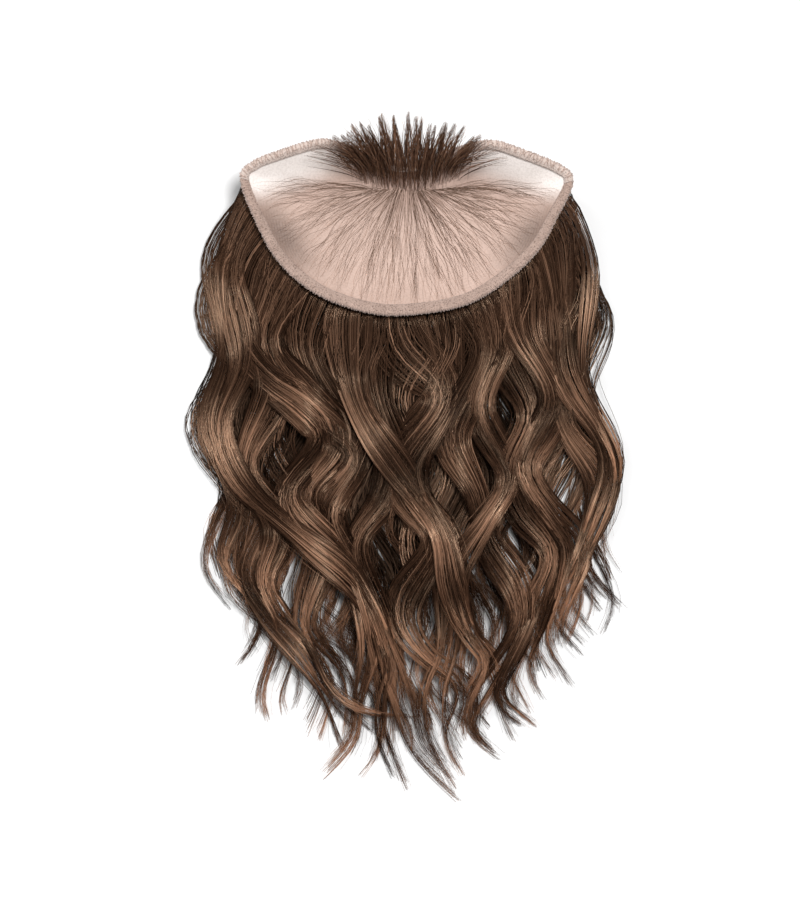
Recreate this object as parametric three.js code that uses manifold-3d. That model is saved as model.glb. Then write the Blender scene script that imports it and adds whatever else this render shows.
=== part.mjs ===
// A clip-in hair topper lying on its hair side, inside up: a thin bowl-shaped base with a bound edge,
// long wavy hair that comes out from under the back edge in three layers, and a short tuft at the front.
// Millimetres, +Z up, +Y from the hair's tips towards the tuft, +X to the viewer's right.
import * as THREE from 'three';
import Module from 'manifold-3d';

const wasm = await Module();
wasm.setup();

// Driving sizes
const BASE_HALF_WIDTH = 94.5;    // from the middle to a horn's outer edge
const BASE_LENGTH = 97.4;        // from the back edge to the front humps
const WALL = 1.2;                // lace and silk together
const GAP = 0.3;                 // between separate pieces
const DISH_FLOOR = 9.4;          // lowest height of the base's inner face
const DISH_CENTRE_SHARE = 0.46;  // where that lowest place lies along the base
const DISH_POWER = 1.9;          // how late the dish turns up towards its rim
const BAND_WIDTH = 5.5;          // the back tape on each face
const HEM_WIDTH = 4.4;           // the front hem on each face
const TAPE = 1.1;                // thickness of tape and hem
const END_GAP = 0.002;           // share of a turn that each of them stops short of a horn's corner
const HAIR_HALF_WIDTH = 125;     // unit of the locks' sideways shares
const HAIR_FALL = 285;           // from the back edge to the lowest tip, unit of their lengthways shares
const UNDER_TOP = 8;             // where the lowest layer ends and the middle one starts
const MAIN_TOP = 15.5;           // where the middle layer ends and the top one starts
const HAIR_TOP = 22.5;           // top of the upper layer on the flat
const RIM_DEPTH = 9.5;           // how far below the rim the upper layer starts
const LAYER_GAP = 0.15;          // half of the gap between two layers
const DRAPE_GAP = 0.95;          // added to it for the steep stretch below the rim

// The rim of the base, from the left horn round the back edge to the right horn (rows 0 to 10),
// then back over the front edge: x and y as shares of the base's half width and length, z in millimetres.
const RIM = [
  { x: -1.000, y: 0.786, z: 41 },
  { x: -0.907, y: 0.542, z: 38 },
  { x: -0.773, y: 0.310, z: 34 },
  { x: -0.550, y: 0.125, z: 31 },
  { x: -0.255, y: 0.018, z: 30 },
  { x: 0.000, y: 0.000, z: 30 },
  { x: 0.340, y: 0.054, z: 30 },
  { x: 0.579, y: 0.182, z: 31.5 },
  { x: 0.788, y: 0.369, z: 35 },
  { x: 0.907, y: 0.571, z: 38 },
  { x: 1.000, y: 0.768, z: 41 },
  { x: 0.935, y: 0.852, z: 42 },
  { x: 0.696, y: 0.946, z: 43 },
  { x: 0.536, y: 0.994, z: 43 },
  { x: 0.390, y: 0.980, z: 41 },
  { x: 0.205, y: 0.917, z: 35 },
  { x: -0.010, y: 0.869, z: 32 },
  { x: -0.225, y: 0.917, z: 35 },
  { x: -0.410, y: 0.985, z: 41 },
  { x: -0.550, y: 1.000, z: 43 },
  { x: -0.777, y: 0.935, z: 43 },
  { x: -0.936, y: 0.872, z: 42 },
];
const BACK_ROWS = 10;            // the back edge takes this many of the rim's spans
const AROUND = 2 * RIM.length;   // facets round the rim, shared by the base and its bindings

// The locks. root: share of the way along the back edge. shoulder, waist, tip: sideways shares beside the
// base, half way down and at the end. fall: how far down the tip lies. crest: where down the fall the wave
// stands furthest left. pitch, swing, width: the wave's length and half swing and the lock's width in mm.
const TOP_LOCKS = [
  { root: 0.04, shoulder: -0.84, waist: -0.89, tip: -0.72, fall: 0.69, crest: 0.24, pitch: 80, swing: 8, width: 11 },
  { root: 0.10, shoulder: -0.81, waist: -0.83, tip: -0.36, fall: 0.88, crest: -0.05, pitch: 84, swing: 9, width: 15 },
  { root: 0.17, shoulder: -0.67, waist: -0.67, tip: -0.50, fall: 0.83, crest: 0.04, pitch: 82, swing: 8, width: 17 },
  { root: 0.25, shoulder: -0.53, waist: -0.50, tip: -0.10, fall: 0.93, crest: -0.02, pitch: 86, swing: 9, width: 17 },
  { root: 0.36, shoulder: -0.32, waist: -0.26, tip: -0.26, fall: 0.94, crest: 0.10, pitch: 84, swing: 8, width: 15 },
  { root: 0.46, shoulder: -0.16, waist: -0.01, tip: 0.23, fall: 0.79, crest: 0.12, pitch: 86, swing: 8, width: 15 },
  { root: 0.55, shoulder: 0.09, waist: 0.09, tip: 0.11, fall: 1.00, crest: 0.18, pitch: 82, swing: 8, width: 16 },
  { root: 0.66, shoulder: 0.33, waist: 0.34, tip: 0.40, fall: 0.88, crest: 0.20, pitch: 84, swing: 8, width: 16 },
  { root: 0.76, shoulder: 0.57, waist: 0.60, tip: 0.57, fall: 0.87, crest: 0.02, pitch: 84, swing: 9, width: 16 },
  { root: 0.85, shoulder: 0.74, waist: 0.71, tip: 0.71, fall: 0.77, crest: 0.08, pitch: 84, swing: 8, width: 15 },
  { root: 0.93, shoulder: 0.84, waist: 0.90, tip: 0.86, fall: 0.66, crest: 0.17, pitch: 84, swing: 8, width: 13 },
];
const MAIN_LOCKS = [
  { root: 0.07, shoulder: -0.79, waist: -0.81, tip: -0.60, fall: 0.83, crest: 0.23, pitch: 80, swing: 8, width: 25 },
  { root: 0.18, shoulder: -0.63, waist: -0.61, tip: -0.41, fall: 0.89, crest: 0.04, pitch: 82, swing: 8, width: 29 },
  { root: 0.31, shoulder: -0.39, waist: -0.37, tip: -0.20, fall: 0.96, crest: 0.05, pitch: 84, swing: 8, width: 31 },
  { root: 0.44, shoulder: -0.15, waist: -0.11, tip: -0.01, fall: 0.98, crest: 0.11, pitch: 84, swing: 8, width: 31 },
  { root: 0.56, shoulder: 0.09, waist: 0.13, tip: 0.24, fall: 0.95, crest: 0.16, pitch: 84, swing: 8, width: 31 },
  { root: 0.69, shoulder: 0.34, waist: 0.37, tip: 0.40, fall: 0.91, crest: 0.20, pitch: 84, swing: 8, width: 31 },
  { root: 0.81, shoulder: 0.58, waist: 0.60, tip: 0.62, fall: 0.83, crest: 0.05, pitch: 84, swing: 8, width: 29 },
  { root: 0.92, shoulder: 0.77, waist: 0.80, tip: 0.77, fall: 0.76, crest: 0.14, pitch: 84, swing: 8, width: 25 },
];
const UNDER_LOCKS = [
  { root: 0.12, shoulder: -0.68, waist: -0.68, tip: -0.76, fall: 0.74, crest: 0.18, pitch: 82, swing: 7, width: 36 },
  { root: 0.28, shoulder: -0.38, waist: -0.38, tip: -0.46, fall: 0.84, crest: 0.08, pitch: 84, swing: 7, width: 40 },
  { root: 0.44, shoulder: -0.08, waist: -0.10, tip: -0.16, fall: 0.96, crest: 0.10, pitch: 84, swing: 7, width: 40 },
  { root: 0.60, shoulder: 0.20, waist: 0.20, tip: 0.18, fall: 0.96, crest: 0.18, pitch: 84, swing: 7, width: 40 },
  { root: 0.76, shoulder: 0.47, waist: 0.48, tip: 0.52, fall: 0.86, crest: 0.12, pitch: 84, swing: 7, width: 38 },
  { root: 0.91, shoulder: 0.71, waist: 0.74, tip: 0.72, fall: 0.74, crest: 0.12, pitch: 84, swing: 7, width: 32 },
];
const SHOULDER_Y = -12;          // height of the shoulder station for locks that leave the back
const SIDE_SHOULDER_Y = 8;       // and for those that leave near a horn
const WAIST_Y = -115;
const BACK_EDGE_LENGTH = 270;    // along the back edge from horn to horn
const STRIP_SHARE = 0.86;        // share of its strip of the edge that a lock fills
const LOCK_START = 0.75;         // locks start this far out between the dish centre and the rim
const TOP_STEPS = 19;            // facets along a lock of each layer
const MAIN_STEPS = 15;
const UNDER_STEPS = 13;
const WAVE_START = 0.75;         // distance past the rim, as a share of its radius, to reach the full swing

// The tuft: a fan of tapered spikes from a short root strip on the base's inner face
const TUFT_ROOT_Y = 73;
const TUFT_ROOT_HALF_WIDTH = 27;
const TUFT_SPIKES = 11;
const TUFT_TIP_Y = 116;          // plan position of the middle tips
const TUFT_TIP_HALF_WIDTH = 43;
const TUFT_SIDE_DROP = 13;       // how much lower down the photo the outermost tips end
const TUFT_TIP_Z = 54;
const TUFT_SPIKE_RADIUS = 4;

const DISH_CENTRE = new THREE.Vector2(0, DISH_CENTRE_SHARE * BASE_LENGTH);

function smooth(from, to, value) {
  return THREE.MathUtils.smoothstep(value, from, to);
}

function mix(a, b, share) {
  return THREE.MathUtils.lerp(a, b, share);
}

// The rim and the dish

const rimCurve = new THREE.CatmullRomCurve3(
  RIM.map((row) => new THREE.Vector3(row.x * BASE_HALF_WIDTH, row.y * BASE_LENGTH, row.z)),
  true, 'catmullrom', 0.5,
);

// Place on the dish's inner face: turn runs once round the rim, out is 0 at the dish centre and 1 on the rim.
function dishPoint(turn, out) {
  const rim = rimCurve.getPoint(((turn % 1) + 1) % 1);
  return new THREE.Vector3(
    mix(DISH_CENTRE.x, rim.x, out),
    mix(DISH_CENTRE.y, rim.y, out),
    DISH_FLOOR + (rim.z - DISH_FLOOR) * Math.max(out, 0) ** DISH_POWER,
  );
}

// Upward normal of the inner face
function dishNormal(turn, out) {
  const step = 0.002;
  const along = dishPoint(turn + step, out).sub(dishPoint(turn - step, out));
  const outward = dishPoint(turn, out + step).sub(dishPoint(turn, out - step));
  const normal = outward.cross(along).normalize();
  return normal.z < 0 ? normal.negate() : normal;
}

function dishOffset(turn, out, offset) {
  return dishPoint(turn, out).addScaledVector(dishNormal(turn, out), offset);
}

// How far out lies a place that is inset millimetres inside the rim, measured square to the rim.
function outAtInset(turn, inset) {
  const step = 0.002;
  const along = dishPoint(turn + step, 1).sub(dishPoint(turn - step, 1)).normalize();
  const outward = dishPoint(turn, 1 + step).sub(dishPoint(turn, 1 - step)).divideScalar(2 * step);
  const square = outward.addScaledVector(along, -outward.dot(along)).length();
  return 1 - inset / square;
}

function backTurn(share) {
  return share * BACK_ROWS / RIM.length;
}

// Table from direction about the dish centre to the turn round the rim
const DIRECTIONS = 720;
const rimByAngle = Array.from({ length: DIRECTIONS + 1 }, (_, i) => {
  const rim = rimCurve.getPoint(i / DIRECTIONS % 1);
  return { turn: i / DIRECTIONS, angle: Math.atan2(rim.y - DISH_CENTRE.y, rim.x - DISH_CENTRE.x), rim };
});
for (let i = 1; i <= DIRECTIONS; i += 1) {
  while (rimByAngle[i].angle < rimByAngle[i - 1].angle - Math.PI) rimByAngle[i].angle += 2 * Math.PI;
}

// Where a place in plan lies: how far out, its distance past the rim and the rim's height in that direction
function locate(x, y) {
  let angle = Math.atan2(y - DISH_CENTRE.y, x - DISH_CENTRE.x);
  while (angle < rimByAngle[0].angle) angle += 2 * Math.PI;
  while (angle > rimByAngle[DIRECTIONS].angle) angle -= 2 * Math.PI;
  let low = 0;
  let high = DIRECTIONS;
  while (high - low > 1) {
    const middle = (low + high) >> 1;
    if (rimByAngle[middle].angle <= angle) low = middle;
    else high = middle;
  }
  const a = rimByAngle[low];
  const b = rimByAngle[high];
  const share = (angle - a.angle) / Math.max(b.angle - a.angle, 1e-9);
  const rim = new THREE.Vector3().lerpVectors(a.rim, b.rim, share);
  const radius = Math.hypot(rim.x - DISH_CENTRE.x, rim.y - DISH_CENTRE.y);
  const distance = Math.hypot(x - DISH_CENTRE.x, y - DISH_CENTRE.y);
  return { out: distance / radius, past: distance - radius, rimZ: rim.z };
}

// The layers of hair

// The mass of hair thins out towards its outline, so that the tips come down to the surface.
function mound(x, y) {
  const halfWidth = 113 * (1 - 0.72 * smooth(150, 290, -y));
  const across = Math.abs(x - 8 * smooth(200, 280, -y)) / halfWidth;
  return Math.max(0.3, (1 - 0.68 * smooth(0.5, 1.05, across)) * (1 - 0.5 * smooth(150, 285, -y)));
}

// Blend from a height tied to the rim to a height on the flat, over the stretch where the hair comes down
function draped(place, x, atRim, onFlat) {
  const reach = 46 - 12 * Math.min(1, Math.abs(x) / 100) ** 2;
  return mix(atRim, onFlat, smooth(0, reach, place.past));
}

function dishHeight(place) {
  return DISH_FLOOR + (place.rimZ - DISH_FLOOR) * Math.min(place.out, 1) ** DISH_POWER;
}

// Boundary between the middle and the upper layer. Side is 1 for its upper face and -1 for its lower one:
// they stand further apart where the hair comes down from the rim.
function upperBoundary(x, y, side) {
  const place = locate(x, y);
  const height = draped(place, x, dishHeight(place) - RIM_DEPTH, MAIN_TOP * mound(x, y));
  const gap = LAYER_GAP + DRAPE_GAP * (1 - smooth(25, 50, place.past));
  return Math.max(height, lowerBoundary(x, y) + 2 * gap) + side * gap;
}

// Boundary between the lowest and the middle layer
function lowerBoundary(x, y) {
  return UNDER_TOP * mound(x, y);
}

// foot: share of the way up through the layer at which its locks' lower faces lie
const layers = {
  under: {
    foot: 0,
    low: () => 0,
    high: (x, y) => lowerBoundary(x, y) - LAYER_GAP,
  },
  main: {
    foot: 0.1,
    low: (x, y) => lowerBoundary(x, y) + LAYER_GAP,
    high: (x, y) => upperBoundary(x, y, -1),
  },
  top: {
    foot: 0.1,
    low: (x, y) => upperBoundary(x, y, 1),
    high: (x, y) => {
      const place = locate(x, y);
      const clearance = WALL + GAP + (TAPE + GAP) * smooth(-10, -7.5, place.past);
      return draped(place, x, dishHeight(place) - clearance * 1.25, HAIR_TOP * mound(x, y));
    },
  },
};

// A height at a share of the way up through a layer
function heightIn(layer, x, y, share) {
  const low = layer.low(x, y);
  return mix(low, Math.max(low + 0.4, layer.high(x, y)), share);
}

// Solids from rings of points

// Closed solid through rings of equally many points: capped at both ends, or joined round into a loop
function loft(rings, looped = false) {
  const count = rings[0].length;
  const positions = rings.flat().flatMap((point) => [point.x, point.y, point.z]);
  const triangles = [];
  const spans = looped ? rings.length : rings.length - 1;
  for (let r = 0; r < spans; r += 1) {
    const here = r * count;
    const next = ((r + 1) % rings.length) * count;
    for (let k = 0; k < count; k += 1) {
      const other = (k + 1) % count;
      triangles.push(here + k, here + other, next + other, here + k, next + other, next + k);
    }
  }
  if (!looped) {
    const last = (rings.length - 1) * count;
    for (const [ring, start, flip] of [[rings[0], 0, true], [rings[rings.length - 1], last, false]]) {
      const centre = ring.reduce((sum, point) => sum.add(point), new THREE.Vector3()).divideScalar(count);
      const hub = positions.length / 3;
      positions.push(centre.x, centre.y, centre.z);
      for (let k = 0; k < count; k += 1) {
        const a = start + k;
        const b = start + (k + 1) % count;
        triangles.push(hub, flip ? b : a, flip ? a : b);
      }
    }
  }
  return makeSolid(positions, triangles);
}

function signedVolume(positions, triangles) {
  let sum = 0;
  const corner = (i) => new THREE.Vector3().fromArray(positions, 3 * triangles[i]);
  for (let i = 0; i < triangles.length; i += 3) {
    sum += corner(i).dot(corner(i + 1).cross(corner(i + 2)));
  }
  return sum;
}

function makeSolid(positions, triangles) {
  if (signedVolume(positions, triangles) < 0) {
    for (let i = 0; i < triangles.length; i += 3) {
      [triangles[i + 1], triangles[i + 2]] = [triangles[i + 2], triangles[i + 1]];
    }
  }
  return new wasm.Manifold(new wasm.Mesh({
    numProp: 3,
    vertProperties: new Float32Array(positions),
    triVerts: new Uint32Array(triangles),
  }));
}

// Join solids into one body, and fill the pockets that are closed off between them.
function fuse(solids) {
  const join = (list) => list.reduce((sum, solid) => sum.add(solid));
  return join(join(solids).decompose().filter((piece) => piece.volume() > 0));
}

function meshOf(name, solid, colour, roughness) {
  const { vertProperties, triVerts } = solid.getMesh();
  const geometry = new THREE.BufferGeometry();
  geometry.setAttribute('position', new THREE.BufferAttribute(new Float32Array(vertProperties), 3));
  geometry.setIndex(new THREE.BufferAttribute(new Uint32Array(triVerts), 1));
  geometry.computeVertexNormals();
  const material = new THREE.MeshStandardMaterial({ color: colour, roughness, metalness: 0 });
  const mesh = new THREE.Mesh(geometry, material);
  mesh.name = name;
  return mesh;
}

// The base

function baseCap() {
  const outs = [0.16, 0.4, 0.62, 0.82, 1];
  const ring = (out, offset) => Array.from({ length: AROUND }, (_, i) => dishOffset(i / AROUND, out, offset));
  const inside = outs.map((out) => ring(out, 0));
  const outside = outs.map((out) => ring(out, -WALL)).reverse();
  return loft([...inside, ...outside]);
}

// A tape folded over the rim between two turns: its section runs up one face, round the edge and down the other
function binding(from, to, width) {
  const outer = TAPE + GAP;
  const section = [
    { inset: width, offset: GAP },
    { inset: width, offset: outer - 0.3 },
    { inset: width - 1, offset: outer },
    { inset: 0.4, offset: outer },
    { inset: -GAP - TAPE * 0.9, offset: 0.5 },
    { inset: -GAP - TAPE, offset: -WALL / 2 },
    { inset: -GAP - TAPE * 0.9, offset: -WALL - 0.5 },
    { inset: 0.4, offset: -WALL - outer },
    { inset: width, offset: -WALL - outer },
    { inset: width, offset: -WALL - GAP },
    { inset: -GAP, offset: -WALL - GAP },
    { inset: -GAP, offset: GAP },
  ];
  const steps = Math.round((to - from) * AROUND);
  const rings = Array.from({ length: steps + 1 }, (_, i) => {
    const turn = THREE.MathUtils.clamp(from + i / AROUND, from + END_GAP, to - END_GAP);
    return section.map((place) => dishOffset(turn, outAtInset(turn, place.inset), place.offset));
  });
  return loft(rings);
}

// The locks

function backEdge(share) {
  return rimCurve.getPoint(backTurn(share));
}

// Plan line of a lock: from under the base past the rim, the shoulder and the waist to the tip
function lockLine(row) {
  const edge = backEdge(row.root);
  const start = new THREE.Vector2(edge.x, edge.y).sub(DISH_CENTRE).multiplyScalar(LOCK_START).add(DISH_CENTRE);
  const shoulderY = edge.y > 45 ? SIDE_SHOULDER_Y : Math.min(SHOULDER_Y, edge.y * 0.35 - 14);
  return new THREE.SplineCurve([
    start,
    new THREE.Vector2(edge.x, edge.y),
    new THREE.Vector2(row.shoulder * HAIR_HALF_WIDTH, shoulderY),
    new THREE.Vector2(row.waist * HAIR_HALF_WIDTH, WAIST_Y),
    new THREE.Vector2(row.tip * HAIR_HALF_WIDTH, -row.fall * HAIR_FALL),
  ]);
}

// Plan place of the lock's middle, with the wave added sideways
function wavePoint(row, line, share) {
  const point = line.getPointAt(share);
  const tangent = line.getTangentAt(share);
  const sideways = new THREE.Vector2(-tangent.y, tangent.x);
  const place = locate(point.x, point.y);
  const swing = row.swing * smooth(0, WAVE_START, place.out - 1);
  const wave = -swing * Math.cos(2 * Math.PI * (point.y + row.crest * HAIR_FALL) / row.pitch);
  return { point: point.addScaledVector(sideways, wave), sideways };
}

function lockTaper(share) {
  return 1 - 0.88 * THREE.MathUtils.clamp((share - 0.55) / 0.45, 0, 1) ** 1.2;
}

// Width of the strip of the back edge that a lock grows from: half way to each neighbour
function rootWidth(rows, index) {
  const before = rows[Math.max(index - 1, 0)].root;
  const after = rows[Math.min(index + 1, rows.length - 1)].root;
  const spans = index === 0 || index === rows.length - 1 ? 1 : 2;
  return (after - before) / spans * BACK_EDGE_LENGTH * STRIP_SHARE;
}

const LOCK_SECTION = [
  { side: -0.5, up: 0 },
  { side: -0.3, up: 0.74 },
  { side: 0.14, up: 0.86 },
  { side: 0.5, up: 0 },
];

// One lock: a flattened sweep whose corners keep inside its layer. It leaves the rim as wide as its strip of
// the edge, so that neighbours join there, and then draws together.
function lock(rows, index, layer, steps) {
  const row = rows[index];
  const line = lockLine(row);
  line.arcLengthDivisions = 400;
  const rings = Array.from({ length: steps + 1 }, (_, i) => {
    const share = (i / steps) ** 1.15;
    const { point, sideways } = wavePoint(row, line, share);
    const taper = lockTaper(share);
    const width = taper * mix(rootWidth(rows, index), row.width, smooth(0.08, 0.4, share));
    return LOCK_SECTION.map((corner) => {
      const x = point.x + sideways.x * corner.side * width;
      const y = point.y + sideways.y * corner.side * width;
      const up = Math.max(layer.foot, corner.up * Math.min(1, taper * 1.5));
      return new THREE.Vector3(x, y, heightIn(layer, x, y, up));
    });
  });
  return loft(rings);
}

// The sheet of hair under the back half of the base that a layer's locks grow out of
function backing(layer, innerOut, outerOut, low, high) {
  const steps = 22;
  const outs = [0, 0.5, 1].map((share) => mix(innerOut, outerOut, share));
  const section = [...outs.map((out) => ({ out, up: high })), ...outs.reverse().map((out) => ({ out, up: low }))];
  const rings = Array.from({ length: steps + 1 }, (_, i) => {
    const turn = backTurn(mix(0.02, 0.98, i / steps));
    return section.map(({ out, up }) => {
      const { x, y } = dishPoint(turn, out);
      return new THREE.Vector3(x, y, heightIn(layer, x, y, up));
    });
  });
  return loft(rings);
}

// The pad of hair that the base lies on: flat below, level under the back and domed under the front
function pad() {
  const around = 44;
  const ring = (out, height) => Array.from({ length: around }, (_, i) => {
    const { x, y } = dishPoint(i / around, out);
    return new THREE.Vector3(x, y, height(x, y, i / around));
  });
  const top = (x, y, turn) => {
    const back = backTurn(1);
    const front = smooth(0.075, 0.14, Math.min(turn - back, 1 - turn));
    const level = layers.under.high(x, y);
    const dome = dishHeight(locate(x, y)) - (WALL + GAP) * 1.5;
    return turn > back ? mix(level, Math.max(level, dome), front) : level;
  };
  const outs = [0.12, 0.35, 0.6, 0.84];
  const side = (x, y, turn) => 0.4 * top(x, y, turn);
  return loft([
    ...outs.map((out) => ring(out, top)),
    ring(0.91, side),
    ring(0.88, () => 0),
    ring(0.12, () => 0),
  ]);
}

// The tuft

function dishHeightAt(x, y) {
  return dishHeight(locate(x, y));
}

function spike(index) {
  const across = mix(-1, 1, index / (TUFT_SPIKES - 1));
  const longer = index % 2 === 0 ? 1 : 0.82;
  const rootX = across * TUFT_ROOT_HALF_WIDTH + 1;
  const tipX = across * TUFT_TIP_HALF_WIDTH;
  const tipY = mix(TUFT_ROOT_Y, TUFT_TIP_Y - TUFT_SIDE_DROP * across ** 2, longer);
  const rootZ = dishHeightAt(rootX, TUFT_ROOT_Y) + 3.2;
  const line = new THREE.QuadraticBezierCurve3(
    new THREE.Vector3(rootX, TUFT_ROOT_Y, rootZ),
    new THREE.Vector3(mix(rootX, tipX, 0.45), mix(TUFT_ROOT_Y, tipY, 0.3), rootZ + 24),
    new THREE.Vector3(tipX, tipY, TUFT_TIP_Z - 3 * (1 - longer)),
  );
  const steps = 4;
  const sides = 4;
  const rings = Array.from({ length: steps + 1 }, (_, i) => {
    const share = i / steps;
    const centre = line.getPoint(share);
    const tangent = line.getTangent(share);
    const right = new THREE.Vector3(1, 0, 0).addScaledVector(tangent, -tangent.x).normalize();
    const up = new THREE.Vector3().crossVectors(tangent, right);
    const radius = TUFT_SPIKE_RADIUS * (1 - 0.92 * share ** 1.3) * mix(0.75, 1, Math.min(1, share * 4));
    return Array.from({ length: sides }, (_unused, k) => {
      const angle = 2 * Math.PI * k / sides;
      return centre.clone()
        .addScaledVector(right, radius * Math.cos(angle))
        .addScaledVector(up, 0.8 * radius * Math.sin(angle));
    });
  });
  return loft(rings);
}

// The strip that the spikes grow from, lying on the base's inner face
function tuftRoot() {
  const steps = 12;
  const section = [
    { along: -3.5, up: GAP * 1.6 },
    { along: 4, up: GAP * 1.6 },
    { along: 2, up: 5 },
    { along: -2, up: 3.4 },
  ];
  const rings = Array.from({ length: steps + 1 }, (_, i) => {
    const across = mix(-1, 1, i / steps);
    const x = across * (TUFT_ROOT_HALF_WIDTH + 1) + 1;
    return section.map(({ along, up }) => {
      const y = TUFT_ROOT_Y + along;
      return new THREE.Vector3(x, y, dishHeightAt(x, y) + up);
    });
  });
  return loft(rings);
}

// The parts and the whole

const lastBackTurn = backTurn(1);

const parts = [
  meshOf('base_cap', baseCap(), '#c9b0a3', 0.75),
  meshOf('back_binding', binding(0, lastBackTurn, BAND_WIDTH), '#c3aa9d', 0.9),
  meshOf('front_binding', binding(lastBackTurn, 1, HEM_WIDTH), '#e6d6cd', 0.8),
  meshOf('crown_tuft', fuse([
    tuftRoot(),
    ...Array.from({ length: TUFT_SPIKES }, (_, i) => spike(i)),
  ]), '#4f3d33', 0.5),
  meshOf('top_locks', fuse([
    backing(layers.top, 0.5, 0.88, 0.2, 0.85),
    ...TOP_LOCKS.map((_, i) => lock(TOP_LOCKS, i, layers.top, TOP_STEPS)),
  ]), '#5f483a', 0.45),
  meshOf('main_hair', fuse([
    backing(layers.main, 0.77, 0.95, 0.1, 0.8),
    ...MAIN_LOCKS.map((_, i) => lock(MAIN_LOCKS, i, layers.main, MAIN_STEPS)),
  ]), '#4a372b', 0.5),
  meshOf('under_hair', fuse([
    pad(),
    ...UNDER_LOCKS.map((_, i) => lock(UNDER_LOCKS, i, layers.under, UNDER_STEPS)),
  ]), '#3e2e24', 0.5),
];

// The origin is the middle of the object's footprint on the surface it lies on.
const model = new THREE.Group();
model.add(...parts);
const extent = new THREE.Box3().setFromObject(model);
const middle = extent.getCenter(new THREE.Vector3());
model.position.set(-middle.x, -middle.y, -extent.min.z);

export default model;
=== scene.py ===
"""Dresses the hair topper: its silk and lace base, bound edges, fine radial hairs, tuft and wavy hair."""
import math

import bpy
import numpy as np
from bpy.props import FloatProperty, FloatVectorProperty, IntProperty, PointerProperty
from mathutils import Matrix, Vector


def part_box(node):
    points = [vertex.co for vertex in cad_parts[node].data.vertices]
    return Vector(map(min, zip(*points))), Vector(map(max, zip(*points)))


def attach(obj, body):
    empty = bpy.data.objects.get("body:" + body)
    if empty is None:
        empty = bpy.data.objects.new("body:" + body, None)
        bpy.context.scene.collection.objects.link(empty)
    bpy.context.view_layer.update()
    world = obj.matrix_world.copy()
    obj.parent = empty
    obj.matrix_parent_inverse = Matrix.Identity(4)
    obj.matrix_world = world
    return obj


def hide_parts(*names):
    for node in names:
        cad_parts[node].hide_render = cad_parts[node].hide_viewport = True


bl_info = {
    "name": "Hair topper dressing",
    "version": (1, 0, 0),
    "blender": (4, 5, 0),
    "location": "View3D > Sidebar > Topper",
    "description": "Builds the base, bindings, tuft and hair of a hair topper that lies inside up",
    "category": "Object",
}

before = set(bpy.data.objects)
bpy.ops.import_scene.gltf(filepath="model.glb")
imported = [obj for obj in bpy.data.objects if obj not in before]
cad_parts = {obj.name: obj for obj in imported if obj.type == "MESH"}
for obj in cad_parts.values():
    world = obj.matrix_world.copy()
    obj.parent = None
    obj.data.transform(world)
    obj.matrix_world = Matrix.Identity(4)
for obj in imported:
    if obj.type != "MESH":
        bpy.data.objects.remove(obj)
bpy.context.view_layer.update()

# Lengths below are millimetres, in the base's own plan: X from its middle, Y from its back edge.
MM = 0.001
BASE_HALF_WIDTH = 94.5
BASE_LENGTH = 97.4
WALL = 1.2
GAP = 0.3
DISH_FLOOR = 9.4
DISH_CENTRE = np.array([0.0, 0.46 * BASE_LENGTH])
DISH_POWER = 1.9
BAND_WIDTH = 5.5
HEM_WIDTH = 4.4
TAPE = 1.1
HAIR_HALF_WIDTH = 125.0
HAIR_FALL = 285.0
UNDER_TOP = 8.0
MAIN_TOP = 15.5
HAIR_TOP = 22.5
RIM_DEPTH = 9.5
LAYER_GAP = 0.15
DRAPE_GAP = 0.95

# The rim, from the left horn round the back edge to the right horn, then over the front edge:
# x and y as shares of the base's half width and length, z in millimetres.
RIM = np.array([
    # x, y, z
    (-1.000, 0.786, 41), (-0.907, 0.542, 38), (-0.773, 0.310, 34), (-0.550, 0.125, 31),
    (-0.255, 0.018, 30), (0.000, 0.000, 30), (0.340, 0.054, 30), (0.579, 0.182, 31.5),
    (0.788, 0.369, 35), (0.907, 0.571, 38), (1.000, 0.768, 41), (0.935, 0.852, 42),
    (0.696, 0.946, 43), (0.536, 0.994, 43), (0.390, 0.980, 41), (0.205, 0.917, 35),
    (-0.010, 0.869, 32), (-0.225, 0.917, 35), (-0.410, 0.985, 41), (-0.550, 1.000, 43),
    (-0.777, 0.935, 43), (-0.936, 0.872, 42),
])
BACK_ROWS = 10
CAD_FACETS = 2 * len(RIM)

# A lock per row: its place along the back edge, sideways shares at shoulder, waist and tip, how far
# down the tip lies, where down the fall the wave stands furthest left, and pitch, swing and width in
# millimetres.
LOCK_COLUMNS = ("root", "shoulder", "waist", "tip", "fall", "crest", "pitch", "swing", "width")
TOP_LOCKS = [
    (0.04, -0.84, -0.89, -0.72, 0.69, 0.24, 80, 8, 11),
    (0.10, -0.81, -0.83, -0.36, 0.88, -0.05, 84, 9, 15),
    (0.17, -0.67, -0.67, -0.50, 0.83, 0.04, 82, 8, 17),
    (0.25, -0.53, -0.50, -0.10, 0.93, -0.02, 86, 9, 17),
    (0.36, -0.32, -0.26, -0.26, 0.94, 0.10, 84, 8, 15),
    (0.46, -0.16, -0.01, 0.23, 0.79, 0.12, 86, 8, 15),
    (0.55, 0.09, 0.09, 0.11, 1.00, 0.18, 82, 8, 16),
    (0.66, 0.33, 0.34, 0.40, 0.88, 0.20, 84, 8, 16),
    (0.76, 0.57, 0.60, 0.57, 0.87, 0.02, 84, 9, 16),
    (0.85, 0.74, 0.71, 0.71, 0.77, 0.08, 84, 8, 15),
    (0.93, 0.84, 0.90, 0.86, 0.66, 0.17, 84, 8, 13),
]
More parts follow.
